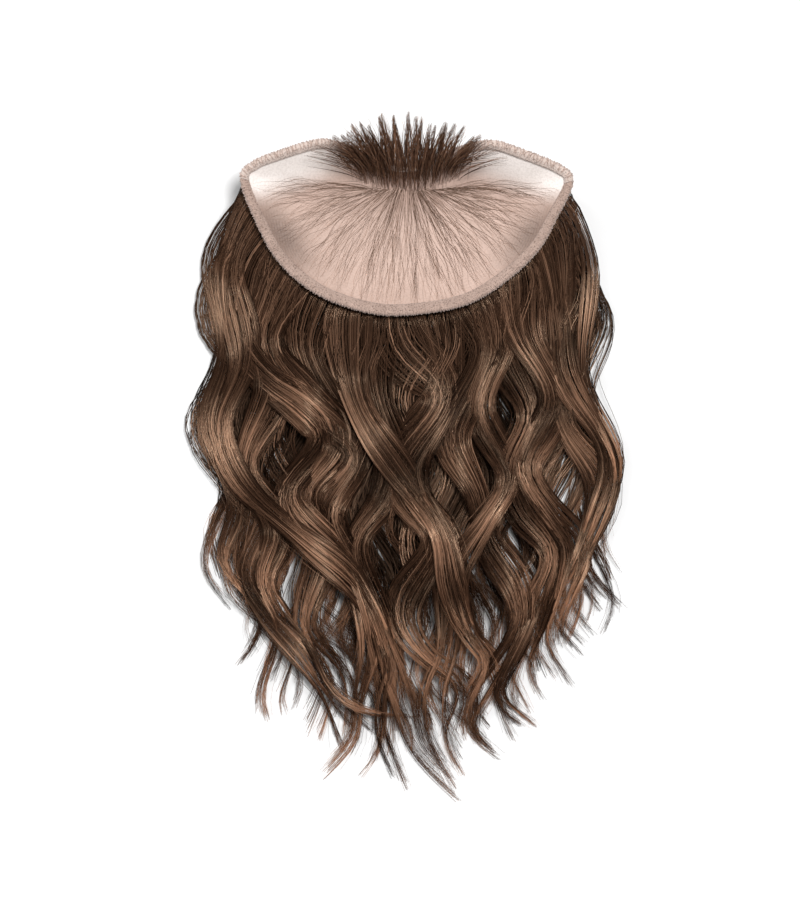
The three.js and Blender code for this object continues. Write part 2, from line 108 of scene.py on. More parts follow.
MAIN_LOCKS = [
    (0.07, -0.79, -0.81, -0.60, 0.83, 0.23, 80, 8, 25),
    (0.18, -0.63, -0.61, -0.41, 0.89, 0.04, 82, 8, 29),
    (0.31, -0.39, -0.37, -0.20, 0.96, 0.05, 84, 8, 31),
    (0.44, -0.15, -0.11, -0.01, 0.98, 0.11, 84, 8, 31),
    (0.56, 0.09, 0.13, 0.24, 0.95, 0.16, 84, 8, 31),
    (0.69, 0.34, 0.37, 0.40, 0.91, 0.20, 84, 8, 31),
    (0.81, 0.58, 0.60, 0.62, 0.83, 0.05, 84, 8, 29),
    (0.92, 0.77, 0.80, 0.77, 0.76, 0.14, 84, 8, 25),
]
UNDER_LOCKS = [
    (0.12, -0.68, -0.68, -0.76, 0.74, 0.18, 82, 7, 36),
    (0.28, -0.38, -0.38, -0.46, 0.84, 0.08, 84, 7, 40),
    (0.44, -0.08, -0.10, -0.16, 0.96, 0.10, 84, 7, 40),
    (0.60, 0.20, 0.20, 0.18, 0.96, 0.18, 84, 7, 40),
    (0.76, 0.47, 0.48, 0.52, 0.86, 0.12, 84, 7, 38),
    (0.91, 0.71, 0.74, 0.72, 0.74, 0.12, 84, 7, 32),
]

# The tresses that lie uppermost, one per row: hairs, width in millimetres, how high they lie in the
# top layer, how light they are, and the bends that they swing through, as pixels read off the
# photo.
# A tress's light value is partly its own tone and partly painted highlight and painted shade: higher for
# ribbons that catch the light, lower for ones that lie in shade.
TRESS_COLUMNS = ("hairs", "width", "lift", "light", "bends")
TRESSES = [
    # outer left, three of its bends moved in a little
    (70, 9, 0.7, 0.0, ((262, 190), (215, 258), (224, 352), (204, 425), (236, 502), (221, 562), (262, 622),
                       (241, 673))),
    # diagonal from the left
    (100, 17, 0.9, 0.05, ((275, 215), (236, 262), (224, 322), (262, 374), (304, 404), (326, 442),
                          (288, 488), (300, 524), (350, 572), (386, 650), (380, 745), (360, 782))),
    # long light diagonal
    (90, 12, 1.1, 0.14, ((258, 205), (228, 270), (243, 358), (220, 425), (240, 482), (300, 536),
                         (352, 584), (381, 636), (398, 700), (404, 755), (434, 804))),
    # left third
    (95, 17, 0.8, 0.0, ((292, 262), (262, 335), (296, 396), (340, 430), (356, 460), (325, 514),
                        (352, 570), (374, 640), (366, 700), (368, 745), (348, 782))),
    # bright middle
    (95, 13, 1.15, 0.12, ((348, 310), (350, 378), (366, 422), (402, 474), (442, 534), (452, 585),
                          (470, 636), (488, 665), (468, 720), (492, 761))),
    # crossing under it
    (90, 17, 0.75, 0.03, ((396, 312), (404, 345), (444, 396), (402, 458), (408, 500), (436, 545),
                          (402, 606), (420, 652), (460, 690), (448, 740), (470, 780))),
    # centre
    (80, 16, 0.6, -0.04, ((436, 308), (446, 350), (446, 392), (412, 450), (420, 500), (445, 540),
                          (448, 640), (430, 690), (428, 740), (443, 792))),
    # right of the centre
    (90, 15, 0.9, 0.03, ((470, 298), (490, 345), (466, 402), (452, 442), (478, 496), (488, 545),
                         (516, 585), (518, 630), (476, 700), (462, 728), (482, 758))),
    # sweeping back to the left
    (80, 12, 1.0, 0.08, ((488, 290), (500, 345), (479, 412), (510, 472), (488, 520), (456, 572),
                         (462, 620), (484, 668), (492, 742))),
    # right third
    (95, 15, 0.95, 0.06, ((518, 268), (526, 332), (558, 398), (527, 466), (550, 508), (579, 548),
                          (564, 598), (548, 642), (574, 690))),
    # right
    (75, 13, 0.8, 0.03, ((548, 230), (562, 290), (564, 372), (604, 442), (612, 480), (594, 528),
                         (582, 566), (610, 618))),
    # outer right
    (38, 7, 0.7, 0.03, ((562, 200), (592, 262), (585, 375), (619, 465), (598, 532), (598, 563))),
    # inner right
    (75, 14, 0.65, 0.0, ((540, 245), (560, 330), (564, 418), (602, 484), (584, 552), (560, 606),
                         (592, 656))),
    # right, inside
    (85, 16, 0.7, -0.03, ((505, 288), (508, 345), (534, 408), (515, 465), (524, 510), (556, 552),
                          (536, 610), (518, 668), (541, 716))),
    # left, inside
    (80, 15, 0.65, 0.0, ((302, 266), (264, 332), (276, 392), (245, 462), (280, 530), (264, 580),
                         (285, 632), (273, 694), (284, 724))),
    # left, low down
    (60, 12, 0.6, 0.0, ((262, 470), (264, 520), (243, 572), (262, 612), (300, 655), (328, 700),
                        (352, 752))),
    # left of the middle
    (85, 16, 0.75, 0.02, ((320, 284), (300, 345), (345, 440), (310, 494), (325, 550), (303, 625),
                          (340, 680), (337, 745))),
    # shaded middle
    (75, 16, 0.55, -0.08, ((374, 310), (376, 390), (396, 450), (388, 500), (356, 545), (372, 600),
                           (394, 660), (384, 720), (408, 792))),
    # thin sweep low down
    (22, 5, 1.2, 0.05, ((275, 600), (310, 645), (332, 690), (368, 716), (398, 722))),
    # right, low down
    (45, 9, 0.7, 0.0, ((545, 585), (522, 640), (500, 690), (508, 712), (530, 737))),
]
SHOULDER_Y = -12.0
SIDE_SHOULDER_Y = 8.0
WAIST_Y = -115.0
LOCK_START = 0.75      # a lock begins at this share of the way from the dish's centre to its rim
WAVE_START = 0.75      # and its wave is full this much further out than the rim
WAVE_LENGTH = 84.0     # one wave of an uppermost tress, in millimetres
LOCK_EASE = 9          # bends are rounded off over this many millimetres: a lock's,
TRESS_EASE = 11        # and a tress's

# The tuft
TUFT_ROOT_Y = 73.0
TUFT_ROOT_HALF_WIDTH = 27.0
TUFT_TIP_Y = 116.0
TUFT_TIP_HALF_WIDTH = 43.0
TUFT_SIDE_DROP = 13.0
TUFT_TIP_Z = 54.0

# The photo's frame
PIXEL = 0.58                      # millimetres across one pixel at the back edge's height
BACK_EDGE_PIXEL = (406.6, 312.0)  # where the back edge's middle lies in the photo
PHOTO_SIZE = (800, 900)
CAMERA_HEIGHT = 3.0               # metres
WORLD_LIGHT = 0.27                # how strongly the white surroundings light the hair


# Small numbers

def mix(a, b, share):
    """Blend from a to b."""
    return a + (b - a) * share


def smooth(low, high, value):
    """Smooth step of value from low to high."""
    share = np.clip((value - low) / (high - low), 0, 1)
    return share * share * (3 - 2 * share)


def unit(vectors):
    """Vectors of length one."""
    return vectors / np.maximum(np.linalg.norm(vectors, axis=-1, keepdims=True), 1e-9)


def catmull_rom(p0, p1, p2, p3, share):
    """Point between p1 and p2."""
    return p1 + 0.5 * share * (
        p2 - p0 + share * (2 * p0 - 5 * p1 + 4 * p2 - p3 + share * (3 * (p1 - p2) + p3 - p0)))


# The dish of the base

def rim_at(turn):
    """Points of the rim, turn 0 at the left horn and 1 once round."""
    rows = RIM * (BASE_HALF_WIDTH, BASE_LENGTH, 1)
    place = np.mod(np.asarray(turn, float), 1) * len(rows)
    row = np.floor(place).astype(int)
    share = (place - row)[..., None]
    corners = [rows[(row + step) % len(rows)] for step in (-1, 0, 1, 2)]
    return catmull_rom(*corners, share)


def back_turn(share):
    """Turn for a share of the way along the back edge."""
    return share * BACK_ROWS / len(RIM)


def dish_point(turn, out):
    """Points of the base's inner face: out is 0 at the dish's centre and 1 on the rim."""
    rim = rim_at(turn)
    out = np.asarray(out, float)
    plan = mix(DISH_CENTRE, rim[..., :2], out[..., None])
    height = DISH_FLOOR + (rim[..., 2] - DISH_FLOOR) * np.maximum(out, 0) ** DISH_POWER
    return np.concatenate([plan, height[..., None]], axis=-1)


def dish_normal(turn, out, step=0.002):
    """Upward normals of the inner face."""
    turn, out = np.broadcast_arrays(np.asarray(turn, float), np.asarray(out, float))
    along = dish_point(turn + step, out) - dish_point(turn - step, out)
    outward = dish_point(turn, out + step) - dish_point(turn, out - step)
    normal = unit(np.cross(outward, along))
    return np.where(normal[..., 2:] < 0, -normal, normal)


def dish_offset(turn, out, offset):
    """Inner face moved along its normal."""
    turn, out, offset = np.broadcast_arrays(turn, out, offset)
    return dish_point(turn, out) + dish_normal(turn, out) * offset[..., None]


def out_at_inset(turn, inset, step=0.002):
    """How far out lies a place that is inset from the rim, measured square to it."""
    ones = np.ones_like(turn)
    along = unit(dish_point(turn + step, ones) - dish_point(turn - step, ones))
    outward = (dish_point(turn, ones + step) - dish_point(turn, ones - step)) / (2 * step)
    square = outward - along * np.sum(outward * along, axis=-1, keepdims=True)
    return 1 - inset / np.linalg.norm(square, axis=-1)


def direction_table(steps=720):
    """Angle about the dish's centre against the rim's points."""
    rim = rim_at(np.arange(steps + 1) / steps)
    angle = np.unwrap(np.arctan2(rim[:, 1] - DISH_CENTRE[1], rim[:, 0] - DISH_CENTRE[0]))
    return angle, rim


RIM_ANGLES, RIM_POINTS = direction_table()


def locate(x, y):
    """How far out a place in plan lies, its distance past the rim and the rim's height there."""
    dx, dy = x - DISH_CENTRE[0], y - DISH_CENTRE[1]
    angle = np.mod(np.arctan2(dy, dx) - RIM_ANGLES[0], 2 * np.pi) + RIM_ANGLES[0]
    rim = [np.interp(angle, RIM_ANGLES, RIM_POINTS[:, axis]) for axis in range(3)]
    radius = np.hypot(rim[0] - DISH_CENTRE[0], rim[1] - DISH_CENTRE[1])
    distance = np.hypot(dx, dy)
    return distance / radius, distance - radius, rim[2]


def dish_height(out, rim_z):
    """Height of the inner face."""
    return DISH_FLOOR + (rim_z - DISH_FLOOR) * np.minimum(out, 1) ** DISH_POWER


def cad_shift():
    """From the base's own plan to the model's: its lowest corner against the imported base's."""
    turn = np.arange(CAD_FACETS)[None, :] / CAD_FACETS
    points = dish_offset(turn, np.array([[0.82], [1.0]]), np.array([[-WALL], [-WALL]]))
    inner = dish_point(np.broadcast_to(turn, points.shape[:2]), np.ones(points.shape[:2]))
    corner = np.minimum(points.reshape(-1, 3).min(axis=0), inner.reshape(-1, 3).min(axis=0))
    packed = np.array(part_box("base_cap")[0]) / MM
    return np.array([packed[0] - corner[0], packed[1] - corner[1], 0.0])


SHIFT = cad_shift()


# The layers of hair

def mound(x, y):
    """The mass of hair thins out towards its outline."""
    half_width = 113 * (1 - 0.72 * smooth(150, 290, -y))
    across = np.abs(x - 8 * smooth(200, 280, -y)) / half_width
    return np.maximum(0.3, (1 - 0.68 * smooth(0.5, 1.05, across)) * (1 - 0.5 * smooth(150, 285, -y)))


def draped(past, x, at_rim, on_flat):
    """Blend from a height tied to the rim to one on the flat."""
    reach = 46 - 12 * np.minimum(1, np.abs(x) / 100) ** 2
    return mix(at_rim, on_flat, smooth(0, 1, past / reach))


def lower_boundary(x, y):
    """Between the lowest and the middle layer."""
    return UNDER_TOP * mound(x, y)


def upper_boundary(x, y, side):
    """Between the middle and the upper layer: its upper face for side 1, its lower one for -1."""
    out, past, rim_z = locate(x, y)
    height = draped(past, x, dish_height(out, rim_z) - RIM_DEPTH, MAIN_TOP * mound(x, y))
    gap = LAYER_GAP + DRAPE_GAP * (1 - smooth(25, 50, past))
    return np.maximum(height, lower_boundary(x, y) + 2 * gap) + side * gap


def ceiling(x, y):
    """Top of the upper layer: under the base, its binding, and then on the flat."""
    out, past, rim_z = locate(x, y)
    clearance = WALL + GAP + (TAPE + GAP) * smooth(-10, -7.5, past)
    return draped(past, x, dish_height(out, rim_z) - clearance * 1.25, HAIR_TOP * mound(x, y))


LAYERS = {
    "under": (lambda x, y: np.zeros_like(x), lambda x, y: lower_boundary(x, y) - LAYER_GAP),
    "main": (lambda x, y: lower_boundary(x, y) + LAYER_GAP, lambda x, y: upper_boundary(x, y, -1)),
    "top": (lambda x, y: upper_boundary(x, y, 1), ceiling),
}


def height_in(layer, x, y, share):
    """Height at a share of the way up through a layer."""
    low, high = LAYERS[layer]
    floor = low(x, y)
    return mix(floor, np.maximum(floor + 0.4, high(x, y)), share)


# Meshes from arrays

def put(name, data):
    """A new object of the scene."""
    piece = bpy.data.objects.new(name, data)
    bpy.context.scene.collection.objects.link(piece)
    return piece


def new_object(name, points, faces_of, material, body="root"):
    """Mesh object from points in the base's plan and lists of faces with equally many corners."""
    mesh = bpy.data.meshes.new(name)
    points = (np.asarray(points, float) + SHIFT) * MM
    loops = np.concatenate([faces.ravel() for faces in faces_of])
    counts = np.concatenate([np.full(len(faces), faces.shape[1]) for faces in faces_of])
    starts = np.concatenate([[0], np.cumsum(counts)[:-1]])
    mesh.vertices.add(len(points))
    mesh.vertices.foreach_set("co", points.ravel())
    mesh.loops.add(len(loops))
    mesh.loops.foreach_set("vertex_index", loops.astype(np.int32))
    mesh.polygons.add(len(counts))
    mesh.polygons.foreach_set("loop_start", starts.astype(np.int32))
    mesh.polygons.foreach_set("use_smooth", np.ones(len(counts), bool))
    mesh.update(calc_edges=True)
    mesh.materials.append(material)
    piece = put(name, mesh)
    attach(piece, body)
    return piece


class Strands:
    """Collects hairs as three-sided tapered prisms and turns them into one mesh."""

    def __init__(self):
        self.points, self.quads, self.tris = [], [], []
        self.quad_uv, self.tri_uv = [], []
        self.size = 0

    def add(self, paths, radii, tones_and_painted_light):
        """Paths are hairs by steps by 3, radii and tones_and_painted_light hairs by steps: each hair's
        tone, with painted sheen and painted shade for the long hair.
        """
        hairs, steps = radii.shape
        tones_and_painted_light = 0.01 + 0.98 * np.broadcast_to(tones_and_painted_light, radii.shape)
        tangent = unit(np.gradient(paths, axis=1))
        sideways = np.cross(tangent, (0, 0, 1.0))
        weak = np.linalg.norm(sideways, axis=-1, keepdims=True) < 1e-3
        sideways = unit(np.where(weak, (1.0, 0, 0), sideways))
        upward = np.cross(sideways, tangent)
        corners = []
        for angle in np.radians((90, 210, 330)):
            reach = math.cos(angle) * sideways + math.sin(angle) * upward
            corners.append(paths + reach * radii[..., None])
        self.points.append(np.stack(corners, axis=2).reshape(-1, 3))
        first = self.size + np.arange(hairs)[:, None, None] * steps * 3
        step = np.arange(steps - 1)[None, :, None] * 3
        side = np.arange(3)[None, None, :]
        other = (side + 1) % 3
        here, there = first + step, first + step + 3
        quads = np.stack([here + side, here + other, there + other, there + side], axis=-1)
        self.quads.append(quads.reshape(-1, 4))
        start = self.size + np.arange(hairs)[:, None] * steps * 3
        end = start + (steps - 1) * 3
        self.tris.append(np.concatenate([start + (0, 2, 1), end + (0, 1, 2)]))
        along = np.linspace(0, 1, steps)
        width = 0.006
        third = width / 3
        before = tones_and_painted_light[:, :-1, None] + (side - 1) * third
        after = tones_and_painted_light[:, 1:, None] + (side - 1) * third
        low = np.broadcast_to(along[:-1][None, :, None], before.shape)
        high = np.broadcast_to(along[1:][None, :, None], before.shape)
        uv = np.stack([np.stack([before, low], -1), np.stack([before + third, low], -1),
                       np.stack([after + third, high], -1), np.stack([after, high], -1)], axis=3)
        self.quad_uv.append(uv.reshape(-1, 2))
        cap_u = np.repeat(np.concatenate([tones_and_painted_light[:, 0], tones_and_painted_light[:, -1]]), 3)
        cap_v = np.repeat([0.0, 1.0], hairs * 3)
        spread = np.tile([0, width / 3, width / 6], 2 * hairs)
        rise = np.tile([0, 0, 0.002], 2 * hairs) * np.where(cap_v > 0.5, -1, 1)
        self.tri_uv.append(np.stack([cap_u + spread, cap_v + rise], -1))
        self.size += hairs * steps * 3

    def build(self, name, material):
        """The mesh object with its map: tone, with any painted sheen and shade, across, and length along.
        """
        faces = [np.concatenate(self.quads), np.concatenate(self.tris)]
        piece = new_object(name, np.concatenate(self.points), faces, material)
        layer = piece.data.uv_layers.new(name="OFBake")
        uv = np.concatenate(self.quad_uv + self.tri_uv)
        layer.uv.foreach_set("vector", uv.ravel())
        return piece


# Hair

def lock_row(rows, index):
    """A row of a lock table by its columns' names."""
    return dict(zip(LOCK_COLUMNS, rows[index]))


def eased(line, reach):
    """A line with its sharp bends rounded off and its ends kept."""
    kernel = np.hanning(2 * reach + 3)[1:-1]
    padded = np.concatenate([2 * line[:1] - line[reach:0:-1], line, 2 * line[-1:] - line[-2:-2 - reach:-1]])
    smoothed = [np.convolve(padded[:, axis], kernel / kernel.sum(), mode="valid") for axis in (0, 1)]
    return np.stack(smoothed, axis=1)


def curve_through(stations, samples=240):
    """A smooth line through stations by equal steps of length, and its length."""
    padded = np.vstack([stations[:1], stations, stations[-1:]])
    place = np.linspace(0, len(stations) - 1, samples * 2)
    span = np.minimum(place.astype(int), len(stations) - 2)
    curve = catmull_rom(*(padded[span + step] for step in range(4)), (place - span)[:, None])
    length = np.concatenate([[0], np.cumsum(np.linalg.norm(np.diff(curve, axis=0), axis=1))])
    even = np.linspace(0, length[-1], samples)
    line = np.stack([np.interp(even, length, curve[:, axis]) for axis in (0, 1)], axis=1)
    return line, length[-1]


def lock_line(row, samples=240):
    """Plan line of a lock by equal steps of length, without its wave, and where it passes the rim."""
    edge = rim_at(back_turn(row["root"]))[:2]
    start = DISH_CENTRE + (edge - DISH_CENTRE) * LOCK_START
    shoulder_y = SIDE_SHOULDER_Y if edge[1] > 45 else min(SHOULDER_Y, edge[1] * 0.35 - 14)
    stations = np.array([
        start, edge,
        (row["shoulder"] * HAIR_HALF_WIDTH, shoulder_y),
        (row["waist"] * HAIR_HALF_WIDTH, WAIST_Y),
        (row["tip"] * HAIR_HALF_WIDTH, -row["fall"] * HAIR_FALL),
    ])
    line, length = curve_through(stations, samples)
    return eased(line, int(LOCK_EASE / length * samples)), edge, length


def root_span(rows, index):
    """Share of the back edge that a lock grows from."""
    before = rows[max(index - 1, 0)][0]
    after = rows[min(index + 1, len(rows) - 1)][0]
    return (after - before) / (1 if index in (0, len(rows) - 1) else 2)


def slow_wander(rng, count, share, size, waves=(0.8, 2.2)):
    """Slow sideways drift along each of several hairs."""
    total = np.zeros((count, share.shape[-1]))
    for _ in range(2):
        rate = rng.uniform(*waves, (count, 1))
        phase = rng.uniform(0, 2 * np.pi, (count, 1))
        total += np.sin(2 * np.pi * rate * share + phase)
    return total * size * 0.5


def grouped(rng, own, width, group_width=1.3):
    """Each hair's small group across a ribbon: where its middle lies, its tone and its depth."""
    count = max(2, round(width / group_width))
    group = np.clip(((own + 0.5) * count).astype(int), 0, count - 1)
    middle = (group + 0.5) / count - 0.5
    return middle, rng.normal(0, 1, count)[group], rng.uniform(0, 1, count)[group]


def along_table(share, table):
    """Rows of a table that runs evenly from 0 to 1, read at every share."""
    sample = np.linspace(0, 1, len(table))
    return np.stack([np.interp(share, sample, column) for column in table.T], -1)


def square_to(tangent):
    """Directions in plan a quarter turn on from others."""
    return np.stack([-tangent[..., 1], tangent[..., 0]], -1)


def bent(start, middle, end, share):
    """Hairs that leave one place towards a second and arrive at a third."""
    towards = (1 - share) ** 2 * start[:, None] + 2 * share * (1 - share) * middle[:, None]
    return towards + share ** 2 * end[:, None]


def follow(line, share):
    """Places along a line at every share, the way that it runs there and the way across it."""
    base = along_table(share, line)
    tangent = unit(along_table(share, np.gradient(line, axis=0)))
    return base, tangent, square_to(tangent)


def lock_hairs(strands, rows, index, layer, spec, rng):
    """The hairs of one lock, gathered in a few tresses that part towards their tips."""
    row = lock_row(rows, index)
    line, edge, length = lock_line(row)
    hairs = max(12, int(spec["per_mm"] * row["width"]))
    steps = max(12, int(spec["steps"] * length / 340))
    tresses = max(2, round(row["width"] / spec["tress_width"]))
    tress = rng.integers(0, tresses, hairs)
    centre = (np.arange(tresses) + 0.5) / tresses - 0.5 + rng.normal(0, 0.04, tresses)
    end_of = rng.uniform(*spec["tress_end"], tresses)
    end_of[rng.integers(0, tresses)] = spec["tress_end"][1]
    own = np.clip(rng.normal(0, 0.42, hairs), -1.0, 1.0)
    middle, group_tone, group_depth = grouped(rng, own / 2, spec["tress_width"])
    own = mix(own, 2 * middle, 0.2)
    end = np.clip(end_of[tress] - np.abs(rng.normal(0, spec["end_spread"], hairs)), 0.3, 1.0)
    begin = rng.uniform(0, 0.008, hairs)
    share = begin[:, None] + (end - begin)[:, None] * np.linspace(0, 1, steps)[None, :]
    relative = share / end[:, None]
    base, _, side = follow(line, share)
    # Across the lock: one ribbon first, then tresses that gather and part
    gather = mix(1.25, spec["gather"], smooth(0.45, 1.0, relative))
    part = mix(1.0, spec["part"], smooth(0.4, 1.0, share))
    place = centre[tress][:, None] * part + own[:, None] / tresses * gather
    taper = 1 - 0.5 * np.clip((share - 0.55) / 0.45, 0, 1) ** 1.2
    width = np.maximum(taper * row["width"] * spec["spread"], 4.0)
    # Each hair leaves the rim at a place of its own and joins its lock below the shoulder
    root = centre[tress] + own / tresses * 1.25
    own_edge = rim_at(back_turn(np.clip(row["root"] + root * root_span(rows, index) * 1.15, 0.005, 0.995)))
    opened = mix(LOCK_START, 1, np.clip(share / 0.08, 0, 1))[..., None]
    from_root = (own_edge[:, :2] - edge)[:, None, :] * opened
    joined = smooth(0.05, 0.40, share)
    out, _, _ = locate(base[..., 0], base[..., 1])
    free = smooth(0, WAVE_START, out - 1)
    lag = (rng.normal(0, spec["lag"], tresses)[tress] + rng.normal(0, 1.6, hairs))[:, None]
    swing = row["swing"] * (1 + rng.normal(0, 0.12, tresses)[tress] + rng.normal(0, 0.06, hairs))[:, None]
    phase = 2 * np.pi * (base[..., 1] + row["crest"] * HAIR_FALL + lag) / row["pitch"]
    drift_table = slow_wander(rng, tresses, np.linspace(0, 1, 60), spec["drift"])
    drift = along_table(share, drift_table.T)[np.arange(hairs), :, tress]
    stray_size = spec["stray"] * np.where(rng.uniform(size=(hairs, 1)) < 0.05, 2.5, 0.8)
    stray = slow_wander(rng, hairs, share, stray_size, (0.6, 2.4))
    loose = smooth(0.08, 0.7, share)
    outward_flick = (-1 if row["tip"] < -0.25 else 1) * min(1.0, 1.2 - abs(row["tip"]))
    flick = outward_flick * rng.uniform(0, spec["flick"], tresses) + rng.normal(0, 2, tresses)
    flick = flick[tress][:, None]
    flick = flick * np.clip((relative - 0.75) / 0.25, 0, 1) ** 2
    across = place * width * joined + free * -swing * np.cos(phase) + (drift + stray) * loose * free
    plan = base + side * across[..., None] + from_root * (1 - joined)[..., None]
    plan[..., 0] += flick
    # Height: an arched ribbon that rolls and twists as it waves
    crown = np.sqrt(np.maximum(0.08, 1 - (1.8 * np.clip(place, -0.5, 0.5)) ** 2))
    depth = mix(group_depth, rng.uniform(0, 1, hairs), 0.45)[:, None] ** 0.7
    own_phase = phase - spec["roll_lag"] + rng.normal(0, 0.35, tresses)[tress][:, None]
    roll = spec["roll"] * free * np.cos(own_phase)
    twist = spec["twist"] * free * place * np.sin(own_phase + 0.6)
    up = spec["rest"] + 0.7 * depth * crown + (roll + twist) * (0.4 + 0.6 * depth)
    up = np.clip(up, spec["sink"], spec["lift"])
    up = up * (1 - 0.5 * smooth(0.8, 1.0, relative))
    height = height_in(layer, plan[..., 0], plan[..., 1], up)
    paths = np.concatenate([plan, np.maximum(height, spec["radius"] * 0.8)[..., None]], -1)
    thin = mix(1.0, 0.22, smooth(0.6, 1.0, relative)) * mix(0.75, 1.0, smooth(0, 0.1, relative))
    radii = spec["radius"] * rng.uniform(0.7, 1.25, hairs)[:, None] * thin
    tones_and_painted_light = rng.normal(0.46, 0.05, tresses)[tress] + 0.10 * group_tone + rng.normal(0, 0.12, hairs)
    # Painted sheen: lighter where the ribbon lies high in its wave and darker in its troughs; painted
    # shade: darker towards the ribbon's edges.
    tones_and_painted_light = tones_and_painted_light[:, None] + 0.24 * free * np.cos(own_phase) - 0.3 * np.abs(2 * place) ** 4 * joined
    tones_and_painted_light = tones_and_painted_light + 0.18 * smooth(0.75, 1.0, relative)
    strands.add(paths, radii, np.clip(tones_and_painted_light, 0, 1))


def photo_shares(pixels):
    """Pixels of the photo as shares of the hair's half width and fall, to the nearest hundredth."""
    offset = (np.array(pixels) - BACK_EDGE_PIXEL) * (PIXEL, -PIXEL)
    return np.round(offset / (HAIR_HALF_WIDTH, HAIR_FALL), 2)


def tress_hairs(strands, row, spec, rng):
    """The hairs of one uppermost tress: a ribbon that swings through its bends and ends in a few points."""
    row = dict(zip(TRESS_COLUMNS, row))
    bends = photo_shares(row["bends"])
    stations = bends * (HAIR_HALF_WIDTH, HAIR_FALL)
    first_out, first_past, _ = locate(stations[0, 0], stations[0, 1])
    rooted = first_past < 8
    if rooted:
        stations = np.vstack([mix(DISH_CENTRE, stations[0], 0.8 / first_out), stations])
    line, length = curve_through(stations)
    line = eased(line, int(TRESS_EASE / length * len(line)))
    hairs = int(1.3 * row["hairs"])
    steps = max(10, int(0.86 * spec["steps"] * length / 340))
    parts = max(2, round(row["width"] / 4))
    rng.integers(0, parts, hairs)  # a draw that nothing reads: it keeps the ones after it as they are
    own = rng.uniform(-0.5, 0.5, hairs)
    order = np.argsort(np.argsort(own)) / hairs
    part = np.minimum((order * parts).astype(int), parts - 1)
    middle, group_tone, group_depth = grouped(rng, own, row["width"] * 1.6)
    own = mix(own, middle, 0.2)
    part_end = rng.uniform(0.87, 1.0, parts)
    part_end[rng.integers(0, parts)] = 1.0
    end = part_end[part] - np.abs(rng.normal(0, 0.04, hairs))
    begin = rng.uniform(0, 0.008 if rooted else 0.15, hairs)
    share = begin[:, None] + (end - begin)[:, None] * np.linspace(0, 1, steps)
    relative = share / end[:, None]
    base, tangent, side = follow(line, share)
    part_centre = (part + 0.5) / parts - 0.5
    towards = smooth(0.62, 1.0, relative)
    place = mix(own[:, None], part_centre[:, None] * 1.1 + (own - part_centre)[:, None] * 0.07, towards)
    pinch = 1 - 0.2 * np.cos(2 * np.pi * (share * length / WAVE_LENGTH + rng.uniform()))
    opening = mix(1.9 if rooted else 0.7, 1.2, smooth(0.05, 0.45, share))
    width = row["width"] * pinch * opening * mix(1.0, 0.6, smooth(0.6, 1.0, share))
    drift_table = slow_wander(rng, parts, np.linspace(0, 1, 60), 1.6)
    drift = along_table(share, drift_table.T)[np.arange(hairs), :, part]
    stray_size = spec["stray"] * np.where(rng.uniform(size=(hairs, 1)) < 0.08, 4.0, 0.5)
    stray = slow_wander(rng, hairs, share, stray_size, (0.6, 2.4))
    across = place * width + (drift * smooth(0.3, 1, share) + stray) * smooth(0.05, 0.5, share)
    plan = base + side * across[..., None]
    end_x = bends[-1][0]
    outwards = (-1 if end_x < -0.25 else 1) * min(1.0, 1.25 - abs(end_x))
    flick = outwards * rng.uniform(-4, 17, parts)[part] + rng.normal(0, 1.5, hairs)
    plan[..., 0] += flick[:, None] * np.clip((relative - 0.8) / 0.2, 0, 1) ** 2
    # Height: an arched ribbon that rolls as it swings
    crown = np.sqrt(np.maximum(0.08, 1 - (1.9 * np.clip(place, -0.5, 0.5)) ** 2))
    depth = mix(group_depth, rng.uniform(0, 1, hairs), 0.45)[:, None] ** 0.7
    bend = np.gradient(np.unwrap(np.arctan2(tangent[..., 1], tangent[..., 0]), axis=1), axis=1)
    bend = np.clip(bend / 0.25, -1, 1)
    swing = smooth(0.1, 0.35, share)
    rise = 2 * np.pi * share * length / WAVE_LENGTH
    rise = rise + rng.uniform(0, 2 * np.pi) + rng.normal(0, 0.35, parts)[part][:, None]
    roll = spec["roll"] * swing * np.cos(rise)
    twist = spec["twist"] * swing * place * bend
    up = row["lift"] * mix(0.2, 1, swing) + 0.4 * (depth - 0.6) * crown + roll + twist
    up = mix(up, 0.35 * up, smooth(0.8, 1.0, relative))
    height = height_in("top", plan[..., 0], plan[..., 1], up)
    # The ends sink to the surface that the hair lies on
    height = mix(height, 0.5 + 1.8 * depth, smooth(0.75, 0.97, share))
    paths = np.concatenate([plan, np.maximum(height, spec["radius"] * 0.8)[..., None]], -1)
    thin = mix(1.0, 0.35, smooth(0.75, 1.0, relative)) * mix(0.75, 1.0, smooth(0, 0.1, relative))
    thin = thin * np.where(stray_size > spec["stray"], 0.6, 1)
    radii = spec["radius"] * rng.uniform(0.7, 1.2, hairs)[:, None] * thin
    # The tress's light value is partly its own tone and partly painted highlight and painted shade; groups
    # and hairs add random tone.
    tones_and_painted_light = 0.47 + row["light"] + 0.10 * group_tone + rng.normal(0, 0.12, hairs)
    # Painted sheen: lighter where the ribbon lies high in its wave and darker in its troughs; painted
    # shade: darker towards the ribbon's edges.
    tones_and_painted_light = tones_and_painted_light[:, None] + 0.26 * swing * np.cos(rise) - 0.35 * np.abs(2 * own[:, None]) ** 4
    tones_and_painted_light = tones_and_painted_light + 0.15 * smooth(0.75, 1.0, relative)
    strands.add(paths, radii, np.clip(tones_and_painted_light, 0, 1))


